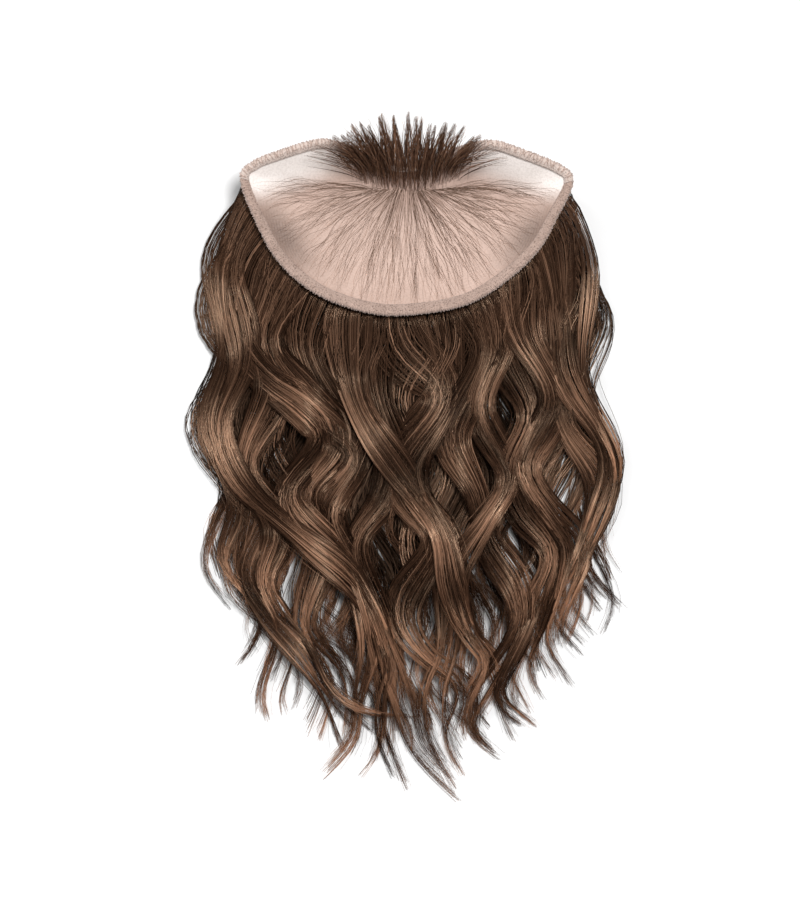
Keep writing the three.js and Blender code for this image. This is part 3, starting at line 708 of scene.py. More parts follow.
def swept_hairs(strands, count, radius, rng):
    """Hairs swept from under the front hem round both sides of the pad."""
    steps = 20
    front = 16 / len(RIM)
    # Up the pad's side and under the base: outs, and how much of the base's own height
    outs = (0.885, 0.925, 0.885, 0.90, 0.965)
    for side, reach in ((1, 0.40), (-1, 0.44)):
        begin = rng.uniform(-0.06, 0.8, count)
        run = begin[:, None] + rng.uniform(0.25, 0.6, count)[:, None] * np.linspace(0, 1, steps)
        turn = front + side * reach * np.minimum(run, 1.02 + 0.02 * run)
        sink = 0.35 * rng.uniform(0.3, 1.0, (count, 1)) * (run - begin[:, None]) / 0.4
        place = rng.uniform(0.15, 1.0, (count, 1)) - sink
        place = np.clip(place, 0, 1)
        wrapped = np.mod(turn, 1)
        from_back = np.minimum(wrapped - BACK_ROWS / len(RIM), 1 - wrapped)
        rim = rim_at(wrapped)
        under_base = dish_height(0.84, rim[..., 2]) - 1.5 * (WALL + GAP)
        top = mix(UNDER_TOP * 0.9, under_base, smooth(0.075, 0.14, from_back))
        rises = (0.4 + 0 * top, 0.5 * top, top, dish_height(0.90, rim[..., 2]) - 2.4,
                 dish_height(0.965, rim[..., 2]) - 2.2)
        at = place * (len(outs) - 1)
        step = np.minimum(at.astype(int), len(outs) - 2)
        out = np.interp(at, np.arange(len(outs)), outs)
        low = np.take_along_axis(np.stack(rises), step[None], 0)[0]
        high = np.take_along_axis(np.stack(rises), step[None] + 1, 0)[0]
        height = mix(low, high, at - step) - rng.uniform(0, 1.2, (count, 1))
        plan = mix(DISH_CENTRE, rim[..., :2], (out - rng.uniform(0, 0.02, (count, 1)))[..., None])
        paths = np.concatenate([plan, np.maximum(height, radius)[..., None]], -1)
        thin = mix(1.0, 0.35, smooth(0.6, 1.0, np.linspace(0, 1, steps)))
        radii = radius * rng.uniform(0.7, 1.2, (count, 1)) * thin
        strands.add(paths, radii, rng.uniform(0.25, 0.85, (count, 1)))


def hair_layer(names, rows, layer, spec, material, node, tresses):
    """A layer's locks as pieces that each stay small enough, all standing for one solid."""
    rng = np.random.default_rng(spec["seed"])
    groups = np.array_split(np.arange(len(rows)), len(names))
    pieces = []
    for name, group in zip(names, groups):
        strands = Strands()
        for index in group:
            lock_hairs(strands, rows, int(index), layer, spec, rng)
        for row in tresses.get(name, ()):
            tress_hairs(strands, row, spec, rng)
        if layer == "under":
            swept_hairs(strands, 330, 0.55, rng)
        piece = strands.build(name, material)
        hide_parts(node)
        pieces.append(piece)
    return pieces


# Materials

def add_node(tree, kind, links=(), **values):
    """New node: properties by name, inputs by in_ and their name, and links into its sockets."""
    node = tree.nodes.new(kind)
    for key, value in values.items():
        if key.startswith("in_"):
            node.inputs[key[3:].replace("_", " ")].default_value = value
        else:
            setattr(node, key, value)
    for socket, source in links:
        tree.links.new(source, node.inputs[socket])
    return node


class Nodes:
    """A material's node tree with short calls to add nodes and link them."""

    def __init__(self, name):
        self.material = bpy.data.materials.new(name)
        self.material.use_nodes = True
        self.tree = self.material.node_tree
        self.shader = self.tree.nodes["Principled BSDF"]

    def add(self, kind, **values):
        """New node in the material's tree."""
        return add_node(self.tree, kind, **values)

    def link(self, source, target):
        """Connect an output to an input."""
        self.tree.links.new(source, target)

    def ramp(self, source, stops):
        """Colour ramp from a list of (place, colour)."""
        node = self.add("ShaderNodeValToRGB")
        elements = node.color_ramp.elements
        while len(elements) < len(stops):
            elements.new(0.5)
        for element, (place, colour) in zip(elements, stops):
            element.position = place
            element.color = (*colour, 1) if len(colour) == 3 else colour
        self.link(source, node.inputs[0])
        return node.outputs[0]

    def blend(self, share, a, b, kind="MIX"):
        """Mix two colours."""
        node = self.add("ShaderNodeMix", data_type="RGBA", blend_type=kind)
        for socket, value in zip((node.inputs[0], node.inputs[6], node.inputs[7]), (share, a, b)):
            if isinstance(value, (int, float)):
                socket.default_value = value
            elif isinstance(value, (tuple, list)):
                socket.default_value = (*value, 1) if len(value) == 3 else value
            else:
                self.link(value, socket)
        return node.outputs[2]

    def times(self, a, b):
        """Multiply two colours."""
        return self.blend(1.0, a, b, "MULTIPLY")

    def finish(self, colour, **values):
        """The shader's colour and its other settings by name."""
        self.link(colour, self.shader.inputs["Base Color"])
        for key, value in values.items():
            self.shader.inputs[key.replace("_", " ")].default_value = value
        return self.material

    def bump(self, height, strength, distance):
        """Bump into the shader's normal."""
        node = self.add("ShaderNodeBump")
        node.inputs["Strength"].default_value = strength
        node.inputs["Distance"].default_value = distance
        self.link(height, node.inputs["Height"])
        self.link(node.outputs[0], self.shader.inputs["Normal"])


def hair_material(name, dark, middle, light, root_shade, tip_light, gloss):
    """Hair whose tone differs from strand to strand and warms towards the tips; for the long hair the tone
    in the map also holds painted sheen along the waves and painted shade at the ribbons' edges.
    """
    nodes = Nodes(name)
    uv = nodes.add("ShaderNodeUVMap", uv_map="OFBake")
    parts = nodes.add("ShaderNodeSeparateXYZ")
    nodes.link(uv.outputs[0], parts.inputs[0])
    tone = nodes.ramp(parts.outputs[0], [(0.0, dark), (0.5, middle), (0.95, light), (1.0, light)])
    along = nodes.ramp(parts.outputs[1], [
        (0.0, (root_shade,) * 3), (0.3, (0.92,) * 3), (0.65, (1.0, 1.0, 1.0)), (1.0, tip_light)])
    colour = nodes.times(tone, along)
    streak = nodes.add("ShaderNodeTexNoise", in_Scale=1.0, in_Detail=2.0)
    mapping = nodes.add("ShaderNodeMapping")
    mapping.inputs["Scale"].default_value = (30, 9, 1)
    nodes.link(uv.outputs[0], mapping.inputs[0])
    nodes.link(mapping.outputs[0], streak.inputs["Vector"])
    patch = nodes.ramp(streak.outputs[0], [(0.3, (0.72,) * 3), (0.7, (1.25, 1.22, 1.18))])
    colour = nodes.times(colour, patch)
    shine = nodes.ramp(parts.outputs[0], [(0.1, (0.05,) * 3), (0.5, (0.3,) * 3), (0.9, (0.9,) * 3)])
    nodes.link(shine, nodes.shader.inputs["Specular IOR Level"])
    return nodes.finish(colour, Roughness=gloss, Specular_Tint=(1.0, 0.7, 0.48, 1))


# The operators

def colour_setting(name, description, default):
    """A colour in the panel."""
    return FloatVectorProperty(name=name, description=description, subtype="COLOR", default=default)


class TopperHair(bpy.types.PropertyGroup):
    """Sizes and colours of the hair."""

    strand_radius: FloatProperty(
        name="Strand radius", description="Half the thickness of a hair in the top layer",
        default=0.00024, min=0.0001, max=0.001, unit="LENGTH", precision=5)
    per_mm: FloatProperty(
        name="Hairs per mm", description="Hairs for each millimetre of a top lock's width", default=2.3)
    wander: FloatProperty(
        name="Wander", description="How far hairs stray from their lock, in mm", default=1.3)
    dark: colour_setting("Dark hair", "Darkest strands", (0.012, 0.0055, 0.0032))
    middle: colour_setting("Middle hair", "Most strands", (0.082, 0.041, 0.0245))
    light: colour_setting("Light hair", "Lightest strands", (0.42, 0.235, 0.15))


class TopperBase(bpy.types.PropertyGroup):
    """Finish of the base and its bindings."""

    silk: colour_setting("Silk", "Skin-coloured silk", (0.62, 0.455, 0.385))
    wing: colour_setting("Wings", "Paler front corners", (0.97, 0.90, 0.86))
    lace: colour_setting("Lace patch", "Grey lace beside the tape", (0.26, 0.19, 0.16))
    tape: colour_setting("Tape", "Back tape", (0.43, 0.315, 0.265))
    hem: colour_setting("Hem", "Front hem", (0.64, 0.53, 0.475))
    stitch_spacing: FloatProperty(
        name="Stitch spacing", description="Between stitches along the edge", default=0.0016,
        unit="LENGTH", precision=5)
    fine_hairs: IntProperty(
        name="Fine hairs", description="Hairs combed over the inner face", default=520)


def scene_hair():
    """The hair's settings."""
    return bpy.context.scene.topper_hair


def scene_base():
    """The base's settings."""
    return bpy.context.scene.topper_base


def grid_faces(rows, columns, looped=False):
    """Quads of a grid of points, joined round along its columns when looped."""
    row = np.arange(rows - 1)[:, None]
    column = np.arange(columns if looped else columns - 1)[None, :]
    after = (column + 1) % columns
    quads = np.stack([row * columns + column, row * columns + after,
                      (row + 1) * columns + after, (row + 1) * columns + column], axis=-1)
    return quads.reshape(-1, 4)


def outward(points, faces_of):
    """Turn the faces round if the closed mesh is inside out."""
    volume = 0.0
    for faces in faces_of:
        a = points[faces[:, 0]]
        for second in range(1, faces.shape[1] - 1):
            b, c = points[faces[:, second]], points[faces[:, second + 1]]
            volume += float(np.sum(a * np.cross(b, c)))
    return faces_of if volume > 0 else [faces[:, ::-1] for faces in faces_of]


def base_material(settings):
    """Silk and lace by the masks painted on the base."""
    nodes = Nodes("silk_and_lace")
    place = nodes.add("ShaderNodeTexCoord").outputs["Object"]
    pale = nodes.add("ShaderNodeAttribute", attribute_name="pale").outputs["Fac"]
    lace = nodes.add("ShaderNodeAttribute", attribute_name="lace").outputs["Fac"]
    shade = nodes.add("ShaderNodeAttribute", attribute_name="shade").outputs["Fac"]
    cloud = nodes.add("ShaderNodeTexNoise", in_Scale=60.0, in_Detail=4.0)
    grain = nodes.add("ShaderNodeTexNoise", in_Scale=900.0, in_Detail=2.0)
    mesh = nodes.add("ShaderNodeTexVoronoi", in_Scale=1100.0, in_Randomness=0.15)
    for texture in (cloud, grain, mesh):
        nodes.link(place, texture.inputs["Vector"])
    tint = nodes.ramp(cloud.outputs[0], [(0.3, (0.93, 0.92, 0.91)), (0.7, (1.05, 1.05, 1.05))])
    fleck = nodes.ramp(grain.outputs[0], [(0.3, (0.9, 0.89, 0.88)), (0.6, (1.03, 1.03, 1.03))])
    holes = nodes.ramp(mesh.outputs["Distance"], [(0.2, (0.62, 0.6, 0.6)), (0.6, (1.1, 1.08, 1.06))])
    colour = nodes.blend(pale, tuple(settings.silk), tuple(settings.wing))
    patch = nodes.times(tuple(settings.lace), holes)
    colour = nodes.blend(lace, colour, patch)
    colour = nodes.times(colour, tint)
    colour = nodes.times(colour, fleck)
    darker = nodes.blend(shade, (1, 1, 1), (0.66, 0.56, 0.5))
    colour = nodes.times(colour, darker)
    nodes.bump(grain.outputs[0], 0.25, 0.0004)
    return nodes.finish(colour, Roughness=0.72, Sheen_Weight=0.15)


class OBJECT_OT_topper_base(bpy.types.Operator):
    """Builds the silk and lace base as a fine closed shell"""

    bl_idname = "object.topper_base"
    bl_label = "Silk and lace base"

    around = 220
    rings = 46

    def execute(self, context):
        """Make the shell, paint its masks and let it stand for the solid."""
        outs = np.concatenate([[0.02], np.linspace(0.06, 0.999, self.rings)])
        turn = np.arange(self.around)[None, :] / self.around
        wrinkle = self.wrinkles(turn, outs[:, None])
        inside = dish_offset(turn, outs[:, None], wrinkle)
        outside = dish_offset(turn, outs[::-1, None], wrinkle[::-1] - WALL)
        points = np.concatenate([inside, outside]).reshape(-1, 3)
        rows = 2 * len(outs)
        hubs = np.array([inside[0].mean(axis=0), outside[-1].mean(axis=0)])
        first = np.arange(self.around)
        after = (first + 1) % self.around
        hub = len(points)
        last = (rows - 1) * self.around
        caps = np.concatenate([
            np.stack([np.full_like(first, hub), after, first], -1),
            np.stack([np.full_like(first, hub + 1), last + first, last + after], -1)])
        points = np.concatenate([points, hubs])
        faces = outward(points, [grid_faces(rows, self.around, looped=True), caps])
        piece = new_object("silk_base", points, faces, base_material(scene_base()))
        self.paint(piece, points)
        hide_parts("base_cap")
        return {"FINISHED"}

    @staticmethod
    def wrinkles(turn, out):
        """Shallow puckers of the lace, strongest at the wings and gone at the rim."""
        wave = np.sin(2 * np.pi * (turn * 9 + out * 1.3))
        wave = wave + 0.6 * np.sin(2 * np.pi * (turn * 17 - out * 2.1) + 1)
        return 0.22 * wave * smooth(0.25, 0.7, out) * (1 - smooth(0.85, 0.97, out))

    @staticmethod
    def paint(piece, points):
        """Masks for the pale wings, the grey lace patches and the shade round the parting."""
        x, y = points[:, 0], points[:, 1]
        out, _, _ = locate(x, y)
        pale = smooth(-10, 8, y - (100 - 0.384 * np.abs(x)))
        near = np.exp(-(((np.abs(x) - 72) * 0.6 + (y - 44) * 0.8) / 23) ** 2)
        band = np.exp(-(((np.abs(x) - 72) * 0.8 - (y - 44) * 0.6) / 9.5) ** 2)
        lace = 0.9 * near * band * (1 - pale)
        parting = np.exp(-((y - 70) / 7) ** 2) * np.exp(-(x / 30) ** 2)
        edge = 0.35 * smooth(0.86, 0.96, out) * (y < 70)
        shade = np.clip(0.35 * parting + edge, 0, 1)
        for name, values in (("pale", pale), ("lace", lace), ("shade", shade)):
            attribute = piece.data.attributes.new(name, "FLOAT", "POINT")
            attribute.data.foreach_set("value", np.clip(values, 0, 1).astype(np.float32))


def felt_material(name, colour, pale):
    """Fuzzy tape: speckled, soft and matt."""
    nodes = Nodes(name)
    place = nodes.add("ShaderNodeTexCoord").outputs["Object"]
    grain = nodes.add("ShaderNodeTexNoise", in_Scale=1150.0, in_Detail=3.0)
    blotch = nodes.add("ShaderNodeTexNoise", in_Scale=170.0, in_Detail=3.0)
    for texture in (grain, blotch):
        nodes.link(place, texture.inputs["Vector"])
    speck = nodes.ramp(grain.outputs[0], [(0.34, (0.5, 0.46, 0.44)), (0.46, (1, 1, 1)), (0.66, pale)])
    cloud = nodes.ramp(blotch.outputs[0], [(0.3, (0.9, 0.88, 0.87)), (0.7, (1.08, 1.08, 1.08))])
    mixed = nodes.times(tuple(colour), speck)
    mixed = nodes.times(mixed, cloud)
    nodes.bump(grain.outputs[0], 0.6, 0.0005)
    return nodes.finish(mixed, Roughness=0.95, Sheen_Weight=0.3)


def stitch_tree(straight):
    """Geometry Nodes: rings round a path, or short straight stitches along it."""
    title = "Straight stitches" if straight else "Overlock stitches"
    tree = bpy.data.node_groups.new(title, "GeometryNodeTree")
    sockets = [("Path", "NodeSocketGeometry"), ("Spacing", "NodeSocketFloat"), ("Ring", "NodeSocketFloat"),
               ("Thread", "NodeSocketFloat"), ("Length", "NodeSocketFloat"), ("Lean", "NodeSocketFloat"),
               ("Material", "NodeSocketMaterial")]
    for name, kind in sockets:
        tree.interface.new_socket(name=name, in_out="INPUT", socket_type=kind)
    tree.interface.new_socket(name="Stitches", in_out="OUTPUT", socket_type="NodeSocketGeometry")

    def add(kind, links=(), **values):
        return add_node(tree, kind, links, **values)

    given = add("NodeGroupInput").outputs
    curve = add("GeometryNodeMeshToCurve", [("Mesh", given["Path"])])
    upright = add("GeometryNodeSetCurveNormal", [("Curve", curve.outputs[0])], mode="Z_UP")
    points = add("GeometryNodeCurveToPoints", [("Curve", upright.outputs[0]), ("Length", given["Spacing"])],
                 mode="LENGTH")
    thread = add("GeometryNodeCurvePrimitiveCircle", [("Radius", given["Thread"])], in_Resolution=5)
    if straight:
        end = add("ShaderNodeCombineXYZ", [("Z", given["Length"])])
        spine = add("GeometryNodeCurvePrimitiveLine", [("End", end.outputs[0])])
    else:
        spine = add("GeometryNodeCurvePrimitiveCircle", [("Radius", given["Ring"])], in_Resolution=11)
    stitch = add("GeometryNodeCurveToMesh", [
        ("Curve", spine.outputs[0]), ("Profile Curve", thread.outputs[0])], in_Fill_Caps=True)
    negative = add("ShaderNodeMath", [(0, given["Lean"])], operation="MULTIPLY")
    negative.inputs[1].default_value = -1.0
    low = add("ShaderNodeCombineXYZ", [("X", negative.outputs[0]), ("Y", negative.outputs[0])])
    high = add("ShaderNodeCombineXYZ", [("X", given["Lean"]), ("Y", given["Lean"])])
    lean = add("FunctionNodeRandomValue", [(0, low.outputs[0]), (1, high.outputs[0])],
               data_type="FLOAT_VECTOR", in_Seed=4)
    turned = add("FunctionNodeRotateRotation", [
        ("Rotation", points.outputs["Rotation"]), ("Rotate By", lean.outputs[0])], rotation_space="LOCAL")
    placed = add("GeometryNodeInstanceOnPoints", [
        ("Points", points.outputs["Points"]), ("Instance", stitch.outputs[0]),
        ("Rotation", turned.outputs[0])])
    real = add("GeometryNodeRealizeInstances", [("Geometry", placed.outputs[0])])
    done = add("GeometryNodeSetMaterial", [("Geometry", real.outputs[0]), ("Material", given["Material"])])
    add("NodeGroupOutput", [("Stitches", done.outputs[0])])
    return tree


def grown(name, points, tree, values, material):
    """Run a Geometry Nodes tree along a path and keep its result as a plain mesh."""
    mesh = bpy.data.meshes.new(name + "_path")
    mesh.from_pydata(points.tolist(), [(index, index + 1) for index in range(len(points) - 1)], [])
    piece = put(name, mesh)
    modifier = piece.modifiers.new("grow", "NODES")
    modifier.node_group = tree
    for item in tree.interface.items_tree:
        if item.in_out == "INPUT" and item.name in values:
            modifier[item.identifier] = values[item.name]
        elif item.name == "Material":
            modifier[item.identifier] = material
    graph = bpy.context.evaluated_depsgraph_get()
    result = bpy.data.meshes.new_from_object(piece.evaluated_get(graph))
    piece.modifiers.clear()
    piece.data = result
    result.name = name
    bpy.data.meshes.remove(mesh)
    return piece


def band_points(start, end, width, narrow, steps, fuzz, seed):
    """Rounded section of a folded tape swept along the rim, with a fuzzy surface."""
    rng = np.random.default_rng(seed)
    outer = TAPE + GAP
    section = np.array([
        # inset, offset
        (width, GAP), (width + 0.15, GAP + 0.45), (width - 0.1, outer - 0.15), (width - 0.8, outer),
        (width * 0.6, outer + 0.1), (width * 0.3, outer + 0.05), (0.4, outer - 0.05),
        (-0.5, outer - 0.3), (-GAP - TAPE * 0.75, 0.5), (-GAP - TAPE, -WALL / 2),
        (-GAP - TAPE * 0.75, -WALL - 0.5), (-0.5, -WALL - outer + 0.3), (0.4, -WALL - outer),
        (width * 0.5, -WALL - outer), (width, -WALL - outer + 0.1), (width, -WALL - GAP),
        (width * 0.5, -WALL - GAP), (-GAP, -WALL - GAP), (-GAP, GAP), (width * 0.5, GAP),
    ])
    turn = np.linspace(start, end, steps)[:, None]
    turns = np.broadcast_to(turn, (steps, len(section)))
    off_middle = np.abs(2 * (turns - start) / (end - start) - 1) ** 1.5
    inner = np.clip(section[:, 0] / width, 0, 1)
    inset = section[:, 0] - inner * width * (1 - narrow) * off_middle
    outs = out_at_inset(turns.copy(), inset)
    visible = np.array([0, 1, 1, 1, 1, 1, 1, 1, 1, 1, 1, 1, 1, 1, 0, 0, 0, 0, 0, 0.0])
    noise = rng.normal(0, fuzz, turns.shape) * visible
    return dish_offset(turns, outs, section[:, 1] + noise)


def swept_piece(name, grid, material, node):
    """Closed mesh through equal sections, capped at its ends."""
    steps, count = grid.shape[:2]
    points = grid.reshape(-1, 3)
    quads = grid_faces(steps, count, looped=True)
    caps = np.stack([np.arange(count)[::-1], (steps - 1) * count + np.arange(count)])
    piece = new_object(name, points, outward(points, [quads, caps]), material)
    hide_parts(node)
    return piece


class OBJECT_OT_topper_bindings(bpy.types.Operator):
    """Builds the felt tape round the back edge and the hem along the front"""

    bl_idname = "object.topper_bindings"
    bl_label = "Tape and hem"

    def execute(self, context):
        settings = scene_base()
        last = back_turn(1.0)
        tape = felt_material("felt_tape", settings.tape, (1.14, 1.13, 1.12))
        hem = felt_material("lace_hem", settings.hem, (1.12, 1.12, 1.12))
        back = band_points(0.0004, last - 0.0004, BAND_WIDTH, 0.62, 520, 0.10, 3)
        front = band_points(last + 0.0004, 0.9996, HEM_WIDTH, 0.8, 420, 0.06, 4)
        edges = [swept_piece("back_tape", back, tape, "back_binding"),
                 swept_piece("front_hem", front, hem, "front_binding")]
        pale = felt_material("pale_thread", [1.15 * c for c in settings.tape], (1.2, 1.2, 1.2))
        dark = felt_material("dark_thread", [0.62 * c for c in settings.hem], (1.1, 1.1, 1.1))
        spacing = settings.stitch_spacing
        rings = {"Spacing": spacing, "Ring": 0.00225, "Thread": 0.00026, "Lean": 0.45}
        seam = {"Spacing": spacing * 1.7, "Ring": 0.0, "Thread": 0.00016, "Length": 0.0014, "Lean": 0.1}
        for row in (
                ("tape_overlock", (0.004, last - 0.004), 0.45, -WALL / 2, rings, pale, "back_tape"),
                ("hem_overlock", (last + 0.004, 0.996), 0.45, -WALL / 2, rings, pale, "front_hem"),
                ("hem_seam", (last + 0.01, 0.99), 2.6, TAPE + 2 * GAP, seam, dark, "front_hem")):
            edges.append(self.stitches(*row))
        return {"FINISHED"}

    @staticmethod
    def stitches(name, turns, inset, offset, values, material, slot):
        """Stitches along a line at an inset from the rim, grown by Geometry Nodes."""
        turn = np.linspace(*turns, 500)
        out = out_at_inset(turn, np.full_like(turn, inset))
        points = dish_offset(turn, out, np.full_like(turn, offset))
        piece = grown(name, (points + SHIFT) * MM, stitch_tree("Length" in values), values, material)
        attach(piece, "root")
        return piece


class OBJECT_OT_topper_fine_hairs(bpy.types.Operator):
    """Combs fine hairs from the parting over the base's inner face"""

    bl_idname = "object.topper_fine_hairs"
    bl_label = "Fine hairs on the base"

    def execute(self, context):
        """Fan of thin hairs that bend towards the back edge."""
        rng = np.random.default_rng(17)
        count = scene_base().fine_hairs
        steps = 15
        target = np.clip(rng.uniform(0.0, 1.0, count), 0.01, 0.99)
        angle = np.radians(mix(163, 377, target) + rng.normal(0, 5, count))
        start = np.stack([
            mix(-30, 32, target) * rng.uniform(0.45, 1.05, count),
            71.5 + rng.normal(0, 0.9, count)], -1)
        end = rim_at(back_turn(target))[:, :2]
        end = mix(DISH_CENTRE, end, rng.uniform(0.84, 0.95, count)[:, None])
        reach = np.linalg.norm(end - start, axis=1, keepdims=True)
        middle = start + 0.5 * reach * np.stack([np.cos(angle), np.sin(angle)], -1)
        late = rng.uniform(size=count) < 0.65
        begin = np.where(late, rng.uniform(0.05, 0.75, count), 0.0)
        stop = np.clip(begin + rng.uniform(0.3, 1.0, count) ** 0.8, 0, 1)
        share = begin[:, None] + (stop - begin)[:, None] * np.linspace(0, 1, steps)
        share = share[..., None]
        plan = bent(start, middle, end, share)
        wiggle = slow_wander(rng, count, share[..., 0], 2.2, (0.6, 2.2)) * smooth(0.0, 0.5, share[..., 0])
        curl = slow_wander(rng, count, share[..., 0], 0.7, (3.0, 5.0))
        wiggle = wiggle + curl * smooth(0.6, 1.0, share[..., 0])
        tangent = unit(np.gradient(plan, axis=1))
        plan = plan + square_to(tangent) * wiggle[..., None]
        out, _, rim_z = locate(plan[..., 0], plan[..., 1])
        height = dish_height(out, rim_z) + 0.35 + 0.25 * np.abs(slow_wander(rng, count, share[..., 0], 1.0))
        paths = np.concatenate([plan, height[..., None]], -1)
        thin = mix(1.0, 0.5, smooth(0.2, 1.0, np.linspace(0, 1, steps)))[None, :]
        radii = rng.uniform(0.045, 0.085, count)[:, None] * thin
        strands = Strands()
        strands.add(paths, radii, rng.uniform(0.1, 0.9, (count, 1)))
        colours = ((0.12, 0.07, 0.048), (0.24, 0.15, 0.105), (0.42, 0.29, 0.22))
        material = hair_material("fine_brown_hair", *colours, 0.75, (1.5, 1.45, 1.4), 0.5)
        piece = strands.build("fine_hairs", material)
        return {"FINISHED"}


class OBJECT_OT_topper_tuft(bpy.types.Operator):
    """Builds the short spiky tuft at the front"""

    bl_idname = "object.topper_tuft"
    bl_label = "Front tuft"

    clumps = 21
    hairs = 32
    wisps = 5

    def execute(self, context):
        """A fan of clumps whose hairs meet in a point and curl outwards."""
        rng = np.random.default_rng(23)
        strands = Strands()
        for index in range(self.clumps):
            across = mix(-1, 1, index / (self.clumps - 1)) + rng.normal(0, 0.025)
            self.clump(strands, rng, across, rng.uniform(0.84, 1.0), self.hairs, 0.5)
        for side in (-1, 1):
            for reach in np.linspace(1.08, 1.34, self.wisps):
                self.clump(strands, rng, side * reach, rng.uniform(0.85, 1.0), 7, 0.8)
        for across in rng.uniform(-1.1, 1.1, 26):
            self.clump(strands, rng, across, rng.uniform(0.7, 1.03), 3, 1.2)
        hair = scene_hair()
        colours = [tuple(times * c for c in colour) for times, colour in (
            (1.6, hair.dark), (1.5, hair.middle), (1.1, hair.light))]
        material = hair_material("tuft_hair", *colours, 1.3, (0.95, 0.9, 0.85), 0.4)
        piece = strands.build("crown_tuft_hair", material)
        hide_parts("crown_tuft")
        return {"FINISHED"}

    @staticmethod
    def clump(strands, rng, across, longer, hairs, loose):
        """One clump from its patch of roots to its pointed tip."""
        steps = 13
        inner = np.clip(across, -1, 1)
        root_x = inner * (TUFT_ROOT_HALF_WIDTH - 1) + 1 + rng.normal(0, 3.0, hairs)
        root_y = TUFT_ROOT_Y - 3 + 6 * inner ** 2 + 10 * rng.uniform(0, 1, hairs) ** 1.2
        out, _, rim_z = locate(root_x, root_y)
        root_z = dish_height(out, rim_z) + 0.5
        tip_x = across * TUFT_TIP_HALF_WIDTH + rng.normal(0, loose, hairs)
        reach_y = TUFT_TIP_Y - TUFT_SIDE_DROP * across ** 2
        tip_y = mix(TUFT_ROOT_Y, reach_y, longer) - np.abs(rng.normal(0, 3.0, hairs))
        tip_z = TUFT_TIP_Z - 2.5 - 7 * np.clip(np.abs(across) - 1, 0, 1) + rng.normal(0, 0.8, hairs)
        start = np.stack([root_x, root_y, root_z], -1)
        end = np.stack([tip_x, tip_y, tip_z], -1)
        middle = np.stack([
            mix(root_x, tip_x, 0.30) - 1.5 * across,
            mix(root_y, tip_y, 0.50),
            root_z + 24 + rng.normal(0, 1.2, hairs)], -1)
        share = np.linspace(0, 1, steps)[None, :, None]
        paths = bent(start, middle, end, share)
        along = share[0, :, 0][None, :]
        paths[..., 0] += slow_wander(rng, hairs, np.repeat(along, hairs, 0), 0.5) * along * (1 - along) * 4
        thin = mix(0.3, 1.0, smooth(0.0, 0.5, along)) * mix(1.0, 0.3, smooth(0.5, 1.0, along))
        radii = rng.uniform(0.14, 0.25, hairs)[:, None] * thin
        strands.add(paths, radii, np.clip(rng.normal(0.47, 0.22, (hairs, 1)), 0, 1))


class OBJECT_OT_topper_hair(bpy.types.Operator):
    """Builds the three layers of long wavy hair"""

    bl_idname = "object.topper_hair"
    bl_label = "Long hair"

    def execute(self, context):
        """Hairs of every lock, layer by layer."""
        hair = scene_hair()
        radius = hair.strand_radius / MM
        top = {"seed": 5, "per_mm": hair.per_mm, "steps": 44, "tress_width": 4.6, "radius": radius,
               "tress_end": (0.74, 0.9), "end_spread": 0.03, "drift": 3.0, "stray": hair.wander,
               "gather": 0.2, "part": 1.3, "spread": 1.2, "lag": 4.0, "flick": 16.0,
               "roll": 0.3, "twist": 1.3, "roll_lag": 1.1, "rest": -0.3, "sink": -0.5, "lift": 0.6}
        main = dict(top, seed=7, rest=0.0, tress_end=(0.72, 0.93), per_mm=hair.per_mm * 1.6, steps=34,
                    tress_width=6.5, radius=radius * 1.2, spread=1.05,
                    roll=0.25, twist=0.5, sink=0.0, lift=1.1, drift=3.5)
        under = dict(top, seed=9, rest=0.05, tress_end=(0.68, 0.9), per_mm=2.7, steps=26,
                     tress_width=8.0, radius=radius * 1.9, spread=1.15,
                     roll=0.15, twist=0.3, sink=0.02, lift=0.95, drift=3.0)
        colours = (tuple(hair.dark), tuple(hair.middle), tuple(hair.light))
        bright = hair_material("wavy_hair", *colours, 0.9, (1.45, 1.36, 1.27), 0.24)
        # Painted shade: the middle and lowest layers use darker copies of the hair's colours, 0.55 and 0.4
        # times, whose tips are lifted back to about the top layer's colour.
        inner = hair_material("inner_hair_painted_shade", *(tuple(0.55 * c for c in colour) for colour in colours),
                              0.5, (2.9, 2.65, 2.4), 0.4)
        deep_painted_shade = hair_material("lowest_hair_painted_shade", *(tuple(0.4 * c for c in colour) for colour in colours),
                             0.6, (4.2, 3.8, 3.4), 0.5)
        names = ("top_locks_left", "top_locks_middle", "top_locks_right")
        tresses = dict(zip(names, (TRESSES[:5], TRESSES[5:11], TRESSES[11:])))
        hair_layer(names, TOP_LOCKS, "top", top, bright, "top_locks", tresses)
        hair_layer(("main_hair_left", "main_hair_right"), MAIN_LOCKS, "main", main, inner, "main_hair", {})
        hair_layer(("under_hair_strands",), UNDER_LOCKS, "under", under, deep_painted_shade, "under_hair", {})
        return {"FINISHED"}


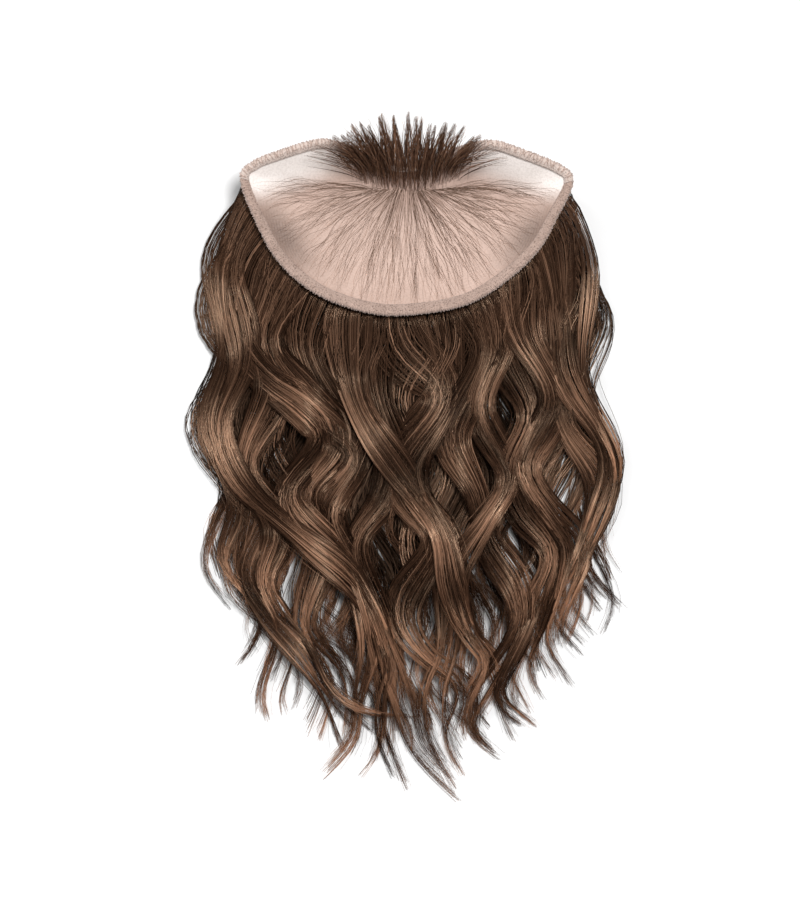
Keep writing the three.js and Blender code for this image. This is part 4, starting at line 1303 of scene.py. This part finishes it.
class OBJECT_OT_topper_stage(bpy.types.Operator):
    """White floor, soft light and the camera above"""

    bl_idname = "object.topper_stage"
    bl_label = "Floor, lights and camera"

    def execute(self, context):
        """Place what the picture needs around the topper."""
        self.floor()
        self.world()
        self.lamp("key_light", (0.65, 0.75, 3.85), 0.9, 134)
        self.lamp("side_light", (-2.1, 1.35, 1.8), 1.0, 27)
        self.camera()
        return {"FINISHED"}

    @staticmethod
    def floor():
        """A plain white table top."""
        nodes = Nodes("white_floor")
        nodes.shader.inputs["Base Color"].default_value = (0.93, 0.93, 0.93, 1)
        nodes.shader.inputs["Roughness"].default_value = 0.9
        half = 3000.0
        corners = np.array([(x * half, y * half, -0.05) for x, y in ((-1, -1), (1, -1), (1, 1), (-1, 1))])
        mesh = bpy.data.meshes.new("floor")
        mesh.from_pydata((corners * MM).tolist(), [], [(0, 1, 2, 3)])
        mesh.materials.append(nodes.material)
        piece = put("floor", mesh)

    @staticmethod
    def world():
        """White surroundings that give a little light."""
        world = bpy.data.worlds.new("studio")
        world.use_nodes = True
        background = world.node_tree.nodes["Background"]
        background.inputs["Color"].default_value = (1, 1, 1, 1)
        # White to the eye, but dimmer as light, so that the gaps between hairs stay dark
        rays = world.node_tree.nodes.new("ShaderNodeLightPath")
        strength = world.node_tree.nodes.new("ShaderNodeMapRange")
        strength.inputs["To Min"].default_value = WORLD_LIGHT
        strength.inputs["To Max"].default_value = 1.0
        world.node_tree.links.new(rays.outputs["Is Camera Ray"], strength.inputs["Value"])
        world.node_tree.links.new(strength.outputs["Result"], background.inputs["Strength"])
        bpy.context.scene.world = world
        bpy.context.scene.view_settings.view_transform = "Standard"

    @staticmethod
    def lamp(name, place, size, watts):
        """A square soft box that looks at the hair's middle."""
        light = bpy.data.lights.new(name, "AREA")
        light.size = size
        light.energy = watts
        lamp = put(name, light)
        x, y, z = place
        lamp.location = place
        lamp.rotation_euler = (math.atan2(math.hypot(x, y), z), 0, math.atan2(y, x) + math.pi / 2)

    @staticmethod
    def camera():
        """Straight above, framed as the photo is."""
        data = bpy.data.cameras.new("camera")
        camera = put("camera", data)
        x = (PHOTO_SIZE[0] / 2 - BACK_EDGE_PIXEL[0]) * PIXEL + SHIFT[0]
        y = (BACK_EDGE_PIXEL[1] - PHOTO_SIZE[1] / 2) * PIXEL + SHIFT[1]
        camera.location = (x * MM, y * MM, CAMERA_HEIGHT)
        data.sensor_fit = "VERTICAL"
        data.sensor_height = 24
        subject = CAMERA_HEIGHT - 0.03
        data.lens = data.sensor_height * subject / (PHOTO_SIZE[1] * PIXEL * MM)
        data.clip_end = 20
        bpy.context.scene.camera = camera


class VIEW3D_PT_topper(bpy.types.Panel):
    """Lists the topper's pieces in the sidebar"""

    bl_label = "Hair topper"
    bl_space_type = "VIEW_3D"
    bl_region_type = "UI"
    bl_category = "Topper"

    def draw(self, context):
        """One button for each operator, then the settings."""
        for operator in OPERATORS:
            self.layout.operator(operator.bl_idname)
        for settings in (context.scene.topper_hair, context.scene.topper_base):
            for name in settings.bl_rna.properties.keys():
                if name not in ("rna_type", "name"):
                    self.layout.prop(settings, name)


OPERATORS = (
    OBJECT_OT_topper_stage,
    OBJECT_OT_topper_base,
    OBJECT_OT_topper_bindings,
    OBJECT_OT_topper_fine_hairs,
    OBJECT_OT_topper_tuft,
    OBJECT_OT_topper_hair,
)
CLASSES = (TopperHair, TopperBase, *OPERATORS, VIEW3D_PT_topper)


def register():
    """Register the classes and the scene's settings."""
    for cls in CLASSES:
        bpy.utils.register_class(cls)
    bpy.types.Scene.topper_hair = PointerProperty(type=TopperHair)
    bpy.types.Scene.topper_base = PointerProperty(type=TopperBase)


def unregister():
    """Undo register."""
    del bpy.types.Scene.topper_base
    del bpy.types.Scene.topper_hair
    for cls in reversed(CLASSES):
        bpy.utils.unregister_class(cls)


def main():
    """Build everything in order."""
    register()
    bpy.ops.object.topper_stage()
    bpy.ops.object.topper_base()
    bpy.ops.object.topper_bindings()
    bpy.ops.object.topper_fine_hairs()
    bpy.ops.object.topper_tuft()
    bpy.ops.object.topper_hair()
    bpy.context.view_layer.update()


if __name__ == "__main__":
    main()
